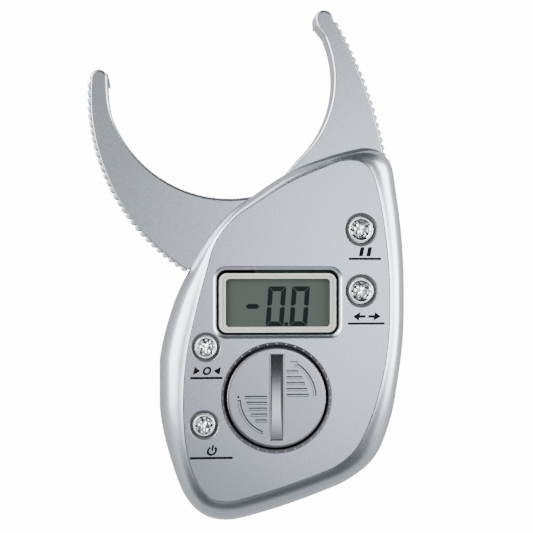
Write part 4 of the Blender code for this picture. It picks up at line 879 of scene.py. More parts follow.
def fixed_outline(outer, tip, inner, fine, wide):
    """The fixed jaw's outline with the round of each point, and the cutters for its two screws."""
    heel = outer[0]
    inset = heel[0] - ROOT_INSET
    root = [(ROOT_LEFT, ROOT_FLOOR), (inset, ROOT_FLOOR), (inset, heel[1])]
    outline = root + outer + tip + [FIXED_SHOULDER] + inner + [FIXED_THROAT]
    rounds = [PLAIN_ROUND] * len(root) + [fine] * len(outer)
    rounds += [wide] * (len(tip) + 1 + len(inner)) + [PLAIN_ROUND]
    profile = [(SCREW_BORE, JAW_LOW.z - OVERRUN), (SCREW_BORE, JAW_HIGH.z + OVERRUN)]
    holes = []
    for screw_node in SCREW_NODES[-2:]:
        low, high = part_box(screw_node)
        holes.append(turned("bore", profile, ((low.x + high.x) / 2, (low.y + high.y) / 2), 24))
    return outline, rounds, holes


class CALIPER_OT_jaws(bpy.types.Operator):
    """Build the two curved jaws with their round edges, pads and grip ribs"""

    bl_idname = "caliper.jaws"
    bl_label = "Jaws"

    def execute(self, context):
        bead = rib_bead()
        pale = surface("pale_rib_paint", (0.55, 0.565, 0.58), 0.42, metallic=0.5, speckle=0.1)
        tree = arc_tree("ribs_on_arc", bead, pale)
        for name, jaw in (("moving_jaw", MOVING), ("fixed_jaw", FIXED)):
            body = "moving_jaw" if name == "moving_jaw" else "case"
            (inner_centre, inner_radius), (outer_centre, outer_radius) = jaw["inner"], jaw["outer"]
            outer_tip = angle_from(outer_centre, jaw["tip"][0]) + jaw["lead_angle"]
            outer = arc(outer_centre, outer_radius, jaw["heel_angle"], outer_tip, OUTER_STEPS)
            tip = arc(*jaw["tip"], *jaw["tip_angles"], TIP_STEPS)
            inner = arc(inner_centre, inner_radius, jaw["swell_angle"], jaw["throat_angle"], INNER_STEPS)
            wide = sizes().edge_round
            shape_of = moving_outline if name == "moving_jaw" else fixed_outline
            outline, rounds, holes = shape_of(outer, tip, inner, wide * OUTER_ROUND_SHARE, wide)
            if signed_area(outline) < 0:
                outline, rounds = outline[::-1], rounds[::-1]
            plate = carve(jaw_plate(name + "_plate", outline, rounds), holes)
            # A dark band under the ribs: painted shade in the gaps between them
            inside = arc(outer_centre, outer_radius - OVERRUN, outer_tip, jaw["heel_angle"], OUTER_STEPS)
            rise = outer_radius + BAND_RISE
            outside = arc(outer_centre, rise, jaw["heel_angle"], outer_tip, OUTER_STEPS)
            band = prism(name + "_band", orient(inside + outside), JAW_LOW.z + BAND_DEPTH,
                         JAW_HIGH.z - BAND_DEPTH)
            gap_shade = surface("rib_ground", (0.12, 0.12, 0.125), 0.5, speckle=0.1, specular=0.2)
            dress(shade(band, 40.0), gap_shade, body, name)
            ribs = jaw_ribs(name + "_ribs", jaw, tree)
            shade(plate, 40.0)
            shade(ribs, 60.0)
            dress(plate, silver_paint(), body, name, name)
            dress(ribs, pale, body, name)
            pad = shade(tip_pad(jaw), 30.0)
            pad.name = name + "_pad"
            dress(pad, silver_paint(), body, name)
        bpy.data.objects.remove(bead)
        return {"FINISHED"}


# Buttons
FOIL_RINGS = ((0.20, 0.10 * MM), (0.42, -0.02 * MM), (0.64, 0.10 * MM), (0.84, -0.02 * MM),
              (1.0, 0.12 * MM))
FOIL_TILT = 0.07 * MM
FOIL_FACETS = 16
FOIL_DROP, FOIL_THICKNESS = 0.45 * MM, 0.6 * MM
TABLE_SHARE, STAR_SHARES = 0.54, (0.80, 0.60)
GIRDLE_DEPTH = 0.12 * MM
JEWEL_RISE, JEWEL_GAP = 0.5 * MM, 0.06 * MM
STEM_RADIUS = 1.3 * MM
RIM_WIDTH, RIM_SEAT = 0.55 * MM, 1.3 * MM
FLANGE = 0.8 * MM


def crown(name, centre, radius, girdle, height):
    """The clear upper part of a cut jewel: table, star, kite and girdle facets over a flat underside."""
    shape = bmesh.new()
    for facet in range(8):
        angle = 45.0 * facet
        shape.verts.new((*polar(radius * TABLE_SHARE, angle, centre), girdle + height))
        star = polar(radius * STAR_SHARES[0], angle + 22.5, centre)
        shape.verts.new((*star, girdle + height * STAR_SHARES[1]))
        for quarter in range(4):
            corner = polar(radius, angle + 11.25 * quarter, centre)
            shape.verts.new((*corner, girdle))
            shape.verts.new((*corner, girdle - GIRDLE_DEPTH))
    bmesh.ops.convex_hull(shape, input=shape.verts[:])
    return new_object(name, shape)


def foil(name, centre, radius, level):
    """The mirror foil under a jewel: rings of small facets that tilt in turn, closed below."""
    shape = bmesh.new()
    rings = []
    for ring, (share, rise) in enumerate(FOIL_RINGS):
        turn = 11.25 * (ring % 2)
        tilt = 0.0 if ring == len(FOIL_RINGS) - 1 else FOIL_TILT
        rings.append([shape.verts.new((*polar(radius * share, 22.5 * point + turn, centre),
                                       level + rise + tilt * (-1) ** point))
                      for point in range(FOIL_FACETS)])
    heart = shape.verts.new((*centre, level - 0.1 * MM))
    for point in range(FOIL_FACETS):
        shape.faces.new((heart, rings[0][point], rings[0][(point + 1) % FOIL_FACETS]))
    for number, (inner, outer) in enumerate(zip(rings, rings[1:])):
        for point in range(FOIL_FACETS):
            after = (point + 1) % FOIL_FACETS
            if number % 2 == 0:
                shape.faces.new((inner[point], outer[point], inner[after]))
                shape.faces.new((inner[after], outer[point], outer[after]))
            else:
                shape.faces.new((inner[point], outer[point], outer[after]))
                shape.faces.new((inner[point], outer[after], inner[after]))
    floor = [shape.verts.new((*vertex.co.xy, level - FOIL_THICKNESS)) for vertex in rings[-1]]
    for point in range(FOIL_FACETS):
        after = (point + 1) % FOIL_FACETS
        shape.faces.new((rings[-1][point], floor[point], floor[after], rings[-1][after]))
    shape.faces.new(floor)
    return new_object(name, shape)


class CALIPER_OT_buttons(bpy.types.Operator):
    """Build the four push buttons: a pale rim, a facetted mirror foil and a clear cut jewel"""

    bl_idname = "caliper.buttons"
    bl_label = "Buttons"

    def execute(self, context):
        rim_plastic = surface("rim_metal", (0.82, 0.83, 0.84), 0.25, metallic=0.6, speckle=0.04)
        mirror = surface("mirror_foil", (0.90, 0.91, 0.93), 0.05, metallic=1.0, speckle=0.05, bump=0.0)
        for name in BUTTON_NAMES:
            centre = BUTTON_CENTRES[name]
            low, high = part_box(name + "_button_cap")
            rim_top = high.z
            rim = RIM_RADII[name]
            inside = rim - RIM_WIDTH
            flange = CASE_HIGH.z - WALL - GAP
            profile = [
                (STEM_RADIUS, low.z), (STEM_RADIUS, flange - FLANGE), (rim + FLANGE, flange - FLANGE),
                (rim + FLANGE, flange), (rim, flange), (rim, rim_top - 0.30 * MM),
                (rim - 0.08 * MM, rim_top - 0.10 * MM), (rim - 0.25 * MM, rim_top),
                (inside + 0.08 * MM, rim_top), (inside, rim_top - 0.1 * MM), (inside, rim_top - RIM_SEAT),
            ]
            cap = shade(turned(name + "_cap", profile, centre, 64), 30.0)
            dress(cap, rim_plastic, name + "_button", name + "_button_cap", name + "_button_cap")
            crystal = name + "_button_crystal"
            jewel = crown(name + "_jewel", centre, inside - JEWEL_GAP, rim_top, JEWEL_RISE)
            dress(jewel, jewel_material(), name + "_button", crystal, crystal)
            bright = foil(name + "_foil", centre, inside - JEWEL_GAP, rim_top - FOIL_DROP)
            dress(bright, mirror, name + "_button", crystal)
        return {"FINISHED"}


# Display; the rows of the frame's rings hold growth, corner and depth below its front
DISPLAY_WINDOW = (36.9 * MM, 16.9 * MM)
FRAME_WALL, FRAME_PLATE = 1.1 * MM, 1.6 * MM
FRAME_EDGE = ((0.0, 2.8 * MM, 0.35 * MM), (-0.2 * MM, 2.75 * MM, 0.1 * MM), (-0.6 * MM, 2.6 * MM, 0.0))
FRAME_STEP = (
    (2.3 * MM, 2.0 * MM, 0.0), (2.0 * MM, 1.9 * MM, 0.5 * MM), (1.5 * MM, 1.7 * MM, 0.25 * MM),
    (0.4 * MM, 1.4 * MM, 0.25 * MM), (0.0, 1.3 * MM, 0.5 * MM), (0.0, 1.3 * MM, FRAME_PLATE),
)
FRAME_BACK_CORNER = 1.4 * MM
WINDOW_NUDGE = 0.15 * MM
DIGIT_LEFTS = (-0.60 * MM, 7.80 * MM)
DIGIT_WIDTH, DIGIT_THICK = 6.3 * MM, 1.65 * MM
DIGIT_LEAN, DIGIT_DROP = 0.075, 1.25 * MM
POINT_LEFT, POINT_SIZE = 6.75 * MM, 1.4 * MM
MINUS_LEFT, MINUS_REACH, MINUS_POINT = -5.2 * MM, 2.45 * MM, 0.85 * MM
SEGMENT_MITRE = 0.13 * MM


def digit_bars(left, foot, width, height, thick):
    """The six outer bars of a nought: mitred at the corners, pointed at mid height."""
    right, head, middle = left + width, foot + height, foot + height / 2
    gap = SEGMENT_MITRE
    bars = []
    for end, side in ((head, -1), (foot, 1)):
        inner = end + side * thick
        bars.append([(left + gap, end), (right - gap, end), (right - thick - gap, inner),
                     (left + thick + gap, inner)])
    for outer, inner in ((left, left + thick), (right, right - thick)):
        for end, side in ((head, -1), (foot, 1)):
            bars.append([
                (outer, end + side * gap),
                (inner, end + side * (thick + gap)),
                (inner, middle - side * (thick * 0.30 + gap)),
                (outer + (inner - outer) * 0.35, middle - side * gap),
                (outer, middle - side * (thick * 0.25 + gap)),
            ])
    return bars


def slant(points, foot, lean):
    return [(x + (y - foot) * lean, y) for x, y in points]


class CALIPER_OT_display(bpy.types.Operator):
    """Build the display's frame, its glass and the lit segments"""

    bl_idname = "caliper.display"
    bl_label = "Display"

    def execute(self, context):
        top = BEZEL_HIGH.z
        width, height = BEZEL_HIGH.x - BEZEL_LOW.x, BEZEL_HIGH.y - BEZEL_LOW.y
        nudged = (LCD_CENTRE[0] + WINDOW_NUDGE, LCD_CENTRE[1])
        window_w, window_h = DISPLAY_WINDOW
        back = rounded_box(nudged, width - 2 * FRAME_WALL, height - 2 * FRAME_WALL, FRAME_BACK_CORNER)
        rings = [lift(rounded_box(LCD_CENTRE, width, height, FRAME_EDGE[0][1]), BEZEL_LOW.z)]
        for grow, corner, depth in FRAME_EDGE:
            rings.append(lift(rounded_box(LCD_CENTRE, width + grow, height + grow, corner), top - depth))
        for grow, corner, depth in FRAME_STEP:
            rings.append(lift(rounded_box(nudged, window_w + grow, window_h + grow, corner), top - depth))
        rings += [lift(back, top - FRAME_PLATE), lift(back, BEZEL_LOW.z)]
        bezel = shade(loft("display_frame", rings, closed=True), 30.0)
        dress(bezel, bezel_plastic(), "case", "lcd_frame", "lcd_frame")
        glass = rounded_box(((GLASS_LOW.x + GLASS_HIGH.x) / 2, (GLASS_LOW.y + GLASS_HIGH.y) / 2),
                            GLASS_HIGH.x - GLASS_LOW.x, GLASS_HIGH.y - GLASS_LOW.y, 1.4 * MM)
        pane = prism("display_pane", glass, GLASS_LOW.z, GLASS_HIGH.z)
        dress(soften(pane, 0.12 * MM, 1), self.pane_material(), "case", "lcd_glass", "lcd_glass")
        digit = sizes().digit_height
        foot = LCD_CENTRE[1] - digit / 2 - DIGIT_DROP
        marks = []
        for left in DIGIT_LEFTS:
            bars = digit_bars(left, foot, DIGIT_WIDTH, digit, DIGIT_THICK)
            marks += [slant(bar, foot, DIGIT_LEAN) for bar in bars]
        marks.append(rounded_box((POINT_LEFT, foot + 0.72 * MM), POINT_SIZE, POINT_SIZE, 0.5 * MM, 4))
        middle, reach, point = foot + digit / 2, MINUS_REACH, MINUS_POINT
        marks.append([(MINUS_LEFT + x, middle + y) for x, y in (
            (-reach, 0.0), (-reach + point, -point), (reach - point, -point), (reach, 0.0),
            (reach - point, point), (-reach + point, point))])
        low = GLASS_HIGH.z + 0.001 * MM
        pieces = [prism("mark", orient(points), low, low + 0.03 * MM) for points in marks]
        dress(join("display_segments", pieces), self.segment_material(), "case", "lcd_glass")
        return {"FINISHED"}

    def pane_material(self):
        return surface("display_grey", tuple(finish_of().glass), 0.42, speckle=0.10, speckle_scale=3000.0,
                       bump=0.0, specular=0.25)

    def segment_material(self):
        return surface("display_dark", (0.004, 0.006, 0.007), 0.6, speckle=0.2, bump=0.0, specular=0.08)


# Battery door
SLOT_HALF = 15.25 * MM
SLOT_WIDTH = 5.6 * MM
SLOT_RIM = 0.40 * MM
DOOR_STEP = 0.70 * MM
DOOR_FOOT_SHARE = 0.85

# The door's upper edge: inset of each ring, and its depth below the door's front
DOOR_EDGE = ((0.0, 0.50 * MM), (0.06 * MM, 0.25 * MM), (0.22 * MM, 0.08 * MM), (0.50 * MM, 0.0),
             (1.0 * MM, 0.0))

SLOT_DEPTH, SLOT_END_DEPTH = 2.6 * MM, 1.1 * MM
SLOT_DRAFT = 0.34
TICK_SIZE = (0.42 * MM, 0.34 * MM)
GROOVE_DEPTH, GROOVE_WALL = 0.35 * MM, 0.34 * MM
# The groove's floor moves to the lower left, so the dark walls, painted shade, are wider at the upper right
GROOVE_SHIFT = (0.09 * MM, 0.15 * MM)
BAR_REACHES = (7.6 * MM, 9.05 * MM, 9.85 * MM, 10.65 * MM, 11.3 * MM)
BAR_START, BAR_PITCH, BAR_HALF = 3.4 * MM, 2.07 * MM, 0.56 * MM
BAR_ROWS = ((1, 9.05 * MM), (-1, 8.05 * MM))
ARC_BANDS = ((2.5, 58.4, 13.0 * MM, 14.1 * MM), (183.0, 248.0, 12.6 * MM, 13.8 * MM))
ARROW_CORNERS = ((13.5 * MM, 70.5), (12.2 * MM, 59.5), (14.8 * MM, 59.5))
DOT_PLACE, DOT_RADIUS = (13.45 * MM, 178.5), 0.42 * MM
TICK_RADIUS = 19.0 * MM


class CALIPER_OT_battery_door(bpy.types.Operator):
    """Build the coin-slot door with its engraved bars and arrows"""

    bl_idname = "caliper.battery_door"
    bl_label = "Battery door"

    def execute(self, context):
        top, low = DOOR_HIGH.z, DOOR_LOW.z
        radius = (DOOR_HIGH.x - DOOR_LOW.x) / 2
        face = radius - DOOR_STEP
        profile = [(radius * DOOR_FOOT_SHARE, low), (radius, low), (radius, low + DOOR_STEP),
                   (face, low + DOOR_STEP + 0.2 * MM)]
        profile += [(face - inset, top - depth) for inset, depth in DOOR_EDGE]
        door = mark_faces(turned("door_plate", profile, DOOR_CENTRE, 144), 0.0)
        high = top + OVERRUN
        middle = (DOOR_CENTRE[0] + 0.1 * MM, DOOR_CENTRE[1] + 0.2 * MM)
        length, width = 2 * SLOT_HALF, SLOT_WIDTH
        rim = []
        for grow in (-SLOT_RIM, SLOT_RIM):
            corner = SLOT_RIM + 0.1 * MM + grow
            rim.append(lift(rounded_box(middle, width + 2 * grow, length + 2 * grow, corner, 3), top + grow))
        carve(door, [mark_faces(loft("slot_rim", rim), 0.0)])
        slot = mark_faces(self.coin_slot(middle, top), high)
        # The coin slot's side walls take the third finish: painted shade
        for face in slot.data.polygons:
            if abs(face.normal.x) > 0.5:
                face.material_index = THIRD_FINISH
        carve(door, [slot])
        carve(door, self.engraving(top))
        shade(door, 30.0)
        polish = surface("polished_slot", (0.46, 0.47, 0.49), 0.20, metallic=1.0, speckle=0.06)
        # Near-black finish for the engraving's walls, the dot and the slot's sides: painted shade
        groove = surface("engraved_dark", (0.03, 0.03, 0.032), 0.5, metallic=0.0, speckle=0.1, specular=0.1)
        dress(door, door_paint(), "battery_door", "battery_door", "battery_door", inner=(polish, groove))
        mark = rounded_box((0.0, 0.0), *TICK_SIZE, 0.1 * MM, 2)
        tick = prism("tick", mark, top - 0.9 * MM, top - 0.06 * MM)
        count = sizes().tick_count
        sweep = math.radians(360.0 * (count - 1) / count)
        tree = arc_tree("ticks_on_ring", tick, silver_paint())
        ticks = run_tree("door_ticks", tree, radius=TICK_RADIUS, start_angle=0.0, sweep_angle=sweep,
                         count=count, centre=(*DOOR_CENTRE, 0.0))
        bpy.data.objects.remove(tick)
        dress(shade(ticks, 30.0), silver_paint(), "case", "front_cover")
        return {"FINISHED"}

    def coin_slot(self, middle, top):
        half, sag = SLOT_HALF - SLOT_RIM, SLOT_DEPTH - SLOT_END_DEPTH
        radius = (half ** 2 + sag ** 2) / (2 * sag)
        spread = math.degrees(math.asin(half / radius))
        line = arc((middle[1], top - SLOT_DEPTH + radius), radius, 270.0 - spread, 270.0 + spread, 40)
        line = [(line[0][0], top + OVERRUN), *line, (line[-1][0], top + OVERRUN)]
        rings = []
        for side in (-1, 1):
            edge = middle[0] + side * (SLOT_WIDTH / 2 - SLOT_RIM)
            rings.append([(edge - side * (top - z) * SLOT_DRAFT, y, z) for y, z in line])
        return loft("coin_slot", rings)

    def groove(self, outline, top):
        """A shallow cut: slanting walls in painted shade, wider at the upper right where the shade falls,
        round a floor in the door's paint.
        """
        floor, outline = top - GROOVE_DEPTH, orient(outline)
        foot = [(x - GROOVE_SHIFT[0], y - GROOVE_SHIFT[1]) for x, y in offset_in(outline, GROOVE_WALL)]
        rings = [lift(foot, floor), lift(outline, top), lift(outline, top + OVERRUN)]
        return mark_faces(loft("groove", rings), floor + 0.01 * MM, OUTER_FINISH, top)

    def engraving(self, top):
        """Five bars on each side of the slot; an arc with an arrow head above, one with a dot below."""
        tools = []
        for row, reach in enumerate(BAR_REACHES):
            for side, first in BAR_ROWS:
                y = DOOR_CENTRE[1] + side * (first - BAR_PITCH * row)
                low, high = sorted((DOOR_CENTRE[0] + side * BAR_START, DOOR_CENTRE[0] + side * reach))
                bar = [(low, y - BAR_HALF), (high, y - BAR_HALF), (high, y + BAR_HALF), (low, y + BAR_HALF)]
                tools.append(self.groove(bar, top))
        for start, end, low, high in ARC_BANDS:
            band = arc(DOOR_CENTRE, high, start, end, 30) + arc(DOOR_CENTRE, low, end, start, 30)
            tools.append(self.groove(band, top))
        head = [polar(radius, angle, DOOR_CENTRE) for radius, angle in ARROW_CORNERS]
        tools.append(self.groove(head, top))
        middle = polar(*DOT_PLACE, DOOR_CENTRE)
        dot = prism("dot", arc(middle, DOT_RADIUS, 0.0, 330.0, 11), top - 0.5 * MM, top + OVERRUN)
        # The dot's inside takes the third finish: painted shade
        tools.append(mark_faces(dot, top, THIRD_FINISH))
        return tools


# Printed marks: the middle of each sign and the width of the bar under it
MARK_PLACES = {
    "hold": ((34.5 * MM, -7.6 * MM), 11.5 * MM),
    "unit": ((35.0 * MM, -30.4 * MM), 13.1 * MM),
    "zero": ((-21.3 * MM, -49.2 * MM), 11.3 * MM),
    "power": ((-19.6 * MM, -77.1 * MM), 15.0 * MM),
}
MARK_LEAN = 0.21
UNDERLINE_SHIFT = (-0.2 * MM, -2.5 * MM)
UNDERLINE_HEIGHT = 0.80 * MM
INK_RISE, INK_THICKNESS = 0.002 * MM, 0.03 * MM


def bar_outline(centre, width, height, lean=0.0):
    x, y = centre
    points = [(x - width / 2, y - height / 2), (x + width / 2, y - height / 2),
              (x + width / 2, y + height / 2), (x - width / 2, y + height / 2)]
    return slant(points, y, lean)


class CALIPER_OT_marks(bpy.types.Operator):
    """Print a plain sign over a bar beside each button"""

    bl_idname = "caliper.marks"
    bl_label = "Printed marks"

    def execute(self, context):
        outlines = []
        for name, ((x, y), width) in MARK_PLACES.items():
            under = (x + UNDERLINE_SHIFT[0], y + UNDERLINE_SHIFT[1])
            outlines.append(bar_outline(under, width, UNDERLINE_HEIGHT))
            outlines += [slant(points, y, MARK_LEAN) for points in getattr(self, name)(x, y)]
        low = CASE_HIGH.z + INK_RISE
        pieces = [prism("mark", orient(points), low, low + INK_THICKNESS) for points in outlines]
        dress(join("printed_marks", pieces), ink(), "case", "front_cover")
        return {"FINISHED"}

    def hold(self, x, y):
        return [bar_outline((x + side * 1.35 * MM, y), 1.4 * MM, 3.2 * MM) for side in (-1, 1)]

    def unit(self, x, y):
        """Two arrows that point apart."""
        outlines = []
        for side in (-1, 1):
            tip, back, tail = x + side * 4.9 * MM, x + side * 2.6 * MM, x + side * 0.5 * MM
            outlines.append([(tip, y), (back, y + 1.55 * MM), (back, y - 1.55 * MM)])
            outlines.append(bar_outline(((back + tail) / 2, y), abs(back - tail), 0.9 * MM))
        return outlines

    def zero(self, x, y):
        """A ring between two arrow heads."""
        outlines = self.ring(x, y, 1.5 * MM, 0.8 * MM)
        for side in (-1, 1):
            tip, back = x + side * 2.3 * MM, x + side * 4.6 * MM
            outlines.append([(tip, y), (back, y + 1.45 * MM), (back, y - 1.45 * MM)])
        return outlines

    def power(self, x, y):
        """A broken ring with a bar through the gap."""
        outlines = self.ring(x, y, 1.75 * MM, 1.05 * MM, (125.0, 415.0))
        outlines.append(bar_outline((x, y + 1.05 * MM), 0.65 * MM, 1.9 * MM))
        return outlines

    def ring(self, x, y, outer, inner, angles=(0.0, 360.0)):
        """A ring in short straight pieces that meet."""
        outlines = []
        start, end = angles
        count = 16
        for piece in range(count):
            one = start + (end - start) * piece / count
            two = start + (end - start) * (piece + 1) / count
            outlines.append([polar(outer, one, (x, y)), polar(outer, two, (x, y)),
                             polar(inner, two, (x, y)), polar(inner, one, (x, y))])
        return outlines


# Inner pieces keep their solids
INNER_FINISHES = (
    (("pivot_pin", "encoder_shaft", "return_spring"), "bright_steel", (0.60, 0.60, 0.61), 0.25, 1.0),
    (("pivot_clip",), "black_steel", (0.06, 0.06, 0.07), 0.4, 0.8),
    (("coin_cell",), "cell_steel", (0.66, 0.66, 0.65), 0.22, 1.0),
    (("rear_thrust_washer", "front_thrust_washer", "sector_gear", "encoder_pinion", "battery_tray"),
     "natural_plastic", (0.74, 0.73, 0.69), 0.45, 0.0),
    (("encoder_reader", "code_disc", "controller_chip", "hold_switch", "unit_switch", "zero_switch",
      "power_switch"), "black_plastic", (0.02, 0.02, 0.022), 0.45, 0.0),
    (("circuit_board",), "green_mask", (0.004, 0.035, 0.014), 0.35, 0.0),
    (("upper_zebra_strip", "lower_zebra_strip"), "pink_rubber", (0.42, 0.12, 0.16), 0.7, 0.0),
    (("positive_contact", "negative_contact"), "gold_plate", (0.72, 0.50, 0.20), 0.28, 1.0),
    (("board_screw_1", "board_screw_2", "board_screw_3", "board_screw_4", "sector_screw_1",
      "sector_screw_2", "sector_screw_3"), "zinc_steel", (0.58, 0.58, 0.56), 0.3, 1.0),
)


class CALIPER_OT_inner_finishes(bpy.types.Operator):
    """Give the pieces inside the case their finishes"""

    bl_idname = "caliper.inner_finishes"
    bl_label = "Inner finishes"

    def execute(self, context):
        for names, label, colour, roughness, metallic in INNER_FINISHES:
            finish = surface(label, colour, roughness, metallic, speckle=0.12)
            for name in names:
                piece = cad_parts[name]
                piece.data.materials.clear()
                piece.data.materials.append(finish)
        return {"FINISHED"}


def place_tree(name, part, coat_of):
    """Node tree: copies of a small body on the vertices of the mesh that carries the tree."""
    tree = bpy.data.node_groups.new(name, "GeometryNodeTree")
    socket(tree, "Geometry", "INPUT", "NodeSocketGeometry")
    socket(tree, "Scale", "INPUT", "NodeSocketFloat", 1.0)
    socket(tree, "Geometry", "OUTPUT", "NodeSocketGeometry")
    entry = node(tree, "NodeGroupInput", (-500, 0))
    leave = node(tree, "NodeGroupOutput", (700, 0))
    shape = node(tree, "GeometryNodeObjectInfo", (-500, -250))
    shape.inputs["Object"].default_value = part
    place = node(tree, "GeometryNodeInstanceOnPoints", (-200, 0))
    real = node(tree, "GeometryNodeRealizeInstances", (100, 0))
    coat = node(tree, "GeometryNodeSetMaterial", (400, 0))
    coat.inputs["Material"].default_value = coat_of
    link = tree.links.new
    link(entry.outputs["Geometry"], place.inputs["Points"])
    link(shape.outputs["Geometry"], place.inputs["Instance"])
    link(entry.outputs["Scale"], place.inputs["Scale"])
    link(place.outputs["Instances"], real.inputs["Geometry"])
    link(real.outputs["Geometry"], coat.inputs["Geometry"])
    link(coat.outputs["Geometry"], leave.inputs["Geometry"])
    return tree


CROSS_SIZE, CROSS_DEPTH = (2.6 * MM, 0.55 * MM), 0.9 * MM


class CALIPER_OT_screws(bpy.types.Operator):
    """Set the housing screws with their cross recesses: four short ones and two long ones"""

    bl_idname = "caliper.screws"
    bl_label = "Housing screws"

    def execute(self, context):
        steel = surface("screw_steel", (0.42, 0.42, 0.43), 0.28, metallic=1.0, speckle=0.1)
        sets = []
        for label, names in (("short", SCREW_NODES[:4]), ("long", SCREW_NODES[4:])):
            low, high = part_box(names[0])
            head = (high.x - low.x) / 2
            profile = [(head * 0.5, low.z), (head * 0.86, low.z + 0.15 * MM), (head, low.z + 0.6 * MM),
                       (head, low.z + 1.8 * MM), (1.25 * MM, low.z + 1.8 * MM), (1.25 * MM, high.z)]
            screw = turned(label + "_screw", profile, (0.0, 0.0), 32)
            for size in (CROSS_SIZE, CROSS_SIZE[::-1]):
                bar = prism("bar", bar_outline((0.0, 0.0), *size), low.z - OVERRUN, low.z + CROSS_DEPTH)
                carve(screw, [bar])
            holder = bpy.data.meshes.new(label + "_places")
            corners = [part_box(name) for name in names]
            holder.from_pydata([((a.x + b.x) / 2, (a.y + b.y) / 2, 0.0) for a, b in corners], [], [])
            tree = place_tree(label + "_screw_places", screw, steel)
            sets.append(run_tree(label + "_screws", tree, holder))
            bpy.data.objects.remove(screw)
        screws = shade(join("housing_screws", sets), 30.0)
        dress(screws, steel, "case", SCREW_NODES[0], *SCREW_NODES)
        return {"FINISHED"}


# Stage
CAMERA_PLACE = (-36.0 * MM, -12.6 * MM, 449.0 * MM)
CAMERA_TARGET = (-0.5 * MM, -12.8 * MM, 24.0 * MM)
CAMERA_LENS = 82.3
LIGHT_TARGET = (0.0, -10.0 * MM, 10.0 * MM)
SOFTBOXES = (
    ("left_box", (-0.62, 0.20, 0.60), 0.72, 0.80, 16.0),
    ("right_box", (0.70, 0.08, 0.42), 0.55, 0.65, 12.0),
    ("back_box", (-0.55, 0.66, 0.36), 0.55, 0.75, 4.5),
)
FLOOR_REACH = 3.0
SKY_SIDE = (0.45, 0.95, 0.0, 1.2)
SKY_BAND = (0.10, 0.45, 0.12, 0.04)
SKY_GLOW_PLACE = (0.22, 0.0, 1.0)
SKY_GLOW = (0.0, 0.30, 4.5, 0.0)
SKY_FRONT = (-0.55, -0.90, 0.0, 0.75)
FLOOR_GLOW_SEEN = 14.0
FLOOR_GLOW_CAST = 0.25


def aim(thing, place, target, upward=(0.0, 1.0, 0.0)):
    """Stand a light or the camera at a place, turned to its target with one axis upwards in the picture."""
    back = (Vector(place) - Vector(target)).normalized()
    side = Vector(upward).cross(back).normalized()
    turn = Matrix((side, back.cross(side), back)).transposed()
    thing.matrix_world = Matrix.Translation(place) @ turn.to_4x4()


def softbox(name, place, width, height, power):
    """A soft rectangular light that faces the object."""
    data = bpy.data.lights.new(name, "AREA")
    data.shape = "RECTANGLE"
    data.size, data.size_y = width, height
    data.energy = power
    lamp = bpy.data.objects.new(name, data)
    bpy.context.scene.collection.objects.link(lamp)
    aim(lamp, place, LIGHT_TARGET)


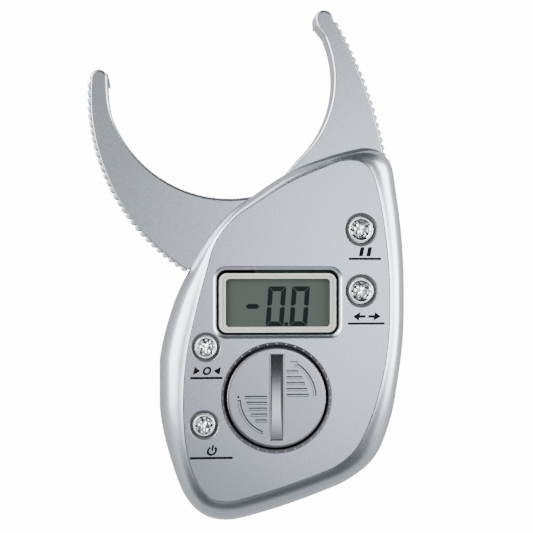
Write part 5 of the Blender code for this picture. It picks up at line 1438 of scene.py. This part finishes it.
class CALIPER_OT_stage(bpy.types.Operator):
    """Set the floor, the lights and the camera"""

    bl_idname = "caliper.stage"
    bl_label = "Stage"

    def execute(self, context):
        scene = context.scene
        shape = bmesh.new()
        for x, y in ((-1, -1), (1, -1), (1, 1), (-1, 1)):
            shape.verts.new((x * FLOOR_REACH, y * FLOOR_REACH, -0.02 * MM))
        shape.faces.new(shape.verts[:])
        floor = new_object("floor", shape)
        if floor.data.polygons[0].normal.z < 0:
            floor.data.flip_normals()
        finish, tree, shader = new_material("pale_floor")
        shader.inputs["Base Color"].default_value = (0.28, 0.28, 0.28, 1.0)
        shader.inputs["Roughness"].default_value = 0.9
        shader.inputs["Specular IOR Level"].default_value = 0.1
        shader.inputs["Emission Color"].default_value = (1.0, 1.0, 1.0, 1.0)
        path = node(tree, "ShaderNodeLightPath", (-500, -300))
        glow = node(tree, "ShaderNodeMapRange", (-250, -300))
        glow.inputs["To Min"].default_value = FLOOR_GLOW_CAST
        glow.inputs["To Max"].default_value = FLOOR_GLOW_SEEN
        tree.links.new(path.outputs["Is Camera Ray"], glow.inputs["Value"])
        tree.links.new(glow.outputs["Result"], shader.inputs["Emission Strength"])
        floor.data.materials.append(finish)
        for box in SOFTBOXES:
            softbox(*box)
        self.sky(scene)
        data = bpy.data.cameras.new("camera")
        data.lens = CAMERA_LENS
        data.sensor_width = 36.0
        data.clip_start, data.clip_end = 0.01, 20.0
        camera = bpy.data.objects.new("camera", data)
        scene.collection.objects.link(camera)
        aim(camera, CAMERA_PLACE, CAMERA_TARGET)
        scene.camera = camera
        return {"FINISHED"}

    def sky(self, scene):
        """A studio round the object: pale to the left and right, dim ahead and behind, soft above."""
        world = scene.world or bpy.data.worlds.new("studio")
        scene.world = world
        world.use_nodes = True
        tree = world.node_tree
        link = tree.links.new
        back = tree.nodes["Background"]
        place = node(tree, "ShaderNodeTexCoord", (-1100, 0))
        parts = node(tree, "ShaderNodeSeparateXYZ", (-900, 0))
        link(place.outputs["Generated"], parts.inputs[0])
        away = node(tree, "ShaderNodeVectorMath", (-900, -350), operation="DISTANCE")
        link(place.outputs["Generated"], away.inputs[0])
        away.inputs[1].default_value = SKY_GLOW_PLACE
        side = maths(tree, (-700, 100), "ABSOLUTE", parts.outputs["X"])
        ahead = maths(tree, (-700, -150), "ABSOLUTE", parts.outputs["Y"])
        sides = soft_step(tree, (-500, 100), side, SKY_SIDE)
        band = soft_step(tree, (-500, -150), ahead, SKY_BAND)
        spot = soft_step(tree, (-500, -400), away.outputs["Value"], SKY_GLOW)
        front = soft_step(tree, (-500, -650), parts.outputs["Y"], SKY_FRONT)
        total = maths(tree, (-300, 0), "ADD", sides, band)
        cards = maths(tree, (-300, -400), "ADD", spot, front)
        strength = maths(tree, (-150, -100), "ADD", total, cards)
        path = node(tree, "ShaderNodeLightPath", (-150, 150))
        seen = node(tree, "ShaderNodeMapRange", (50, 0))
        link(path.outputs["Is Camera Ray"], seen.inputs["Value"])
        link(strength, seen.inputs["To Min"])
        seen.inputs["To Max"].default_value = FLOOR_GLOW_SEEN
        link(seen.outputs["Result"], back.inputs["Strength"])
        back.inputs["Color"].default_value = (0.93, 0.96, 1.0, 1.0)


OPERATORS = (
    CALIPER_OT_case, CALIPER_OT_jaws, CALIPER_OT_buttons, CALIPER_OT_display, CALIPER_OT_battery_door,
    CALIPER_OT_marks, CALIPER_OT_screws, CALIPER_OT_inner_finishes, CALIPER_OT_stage,
)


class CALIPER_PT_panel(bpy.types.Panel):
    """The caliper's pieces in the sidebar"""

    bl_idname = "CALIPER_PT_panel"
    bl_label = "Skinfold caliper"
    bl_space_type = "VIEW_3D"
    bl_region_type = "UI"
    bl_category = "Caliper"

    def draw(self, context):
        for group in (context.scene.caliper_sizes, context.scene.caliper_finish):
            for key in group.__annotations__:
                self.layout.prop(group, key)
        for operator in OPERATORS:
            self.layout.operator(operator.bl_idname)


CLASSES = (CaliperSizes, CaliperFinish, *OPERATORS, CALIPER_PT_panel)


def register():
    for item in CLASSES:
        bpy.utils.register_class(item)
    bpy.types.Scene.caliper_sizes = PointerProperty(type=CaliperSizes)
    bpy.types.Scene.caliper_finish = PointerProperty(type=CaliperFinish)


def unregister():
    del bpy.types.Scene.caliper_finish
    del bpy.types.Scene.caliper_sizes
    for item in reversed(CLASSES):
        bpy.utils.unregister_class(item)


def main():
    register()
    for operator in OPERATORS:
        group, name = operator.bl_idname.split(".")
        getattr(getattr(bpy.ops, group), name)()


if __name__ == "__main__":
    main()
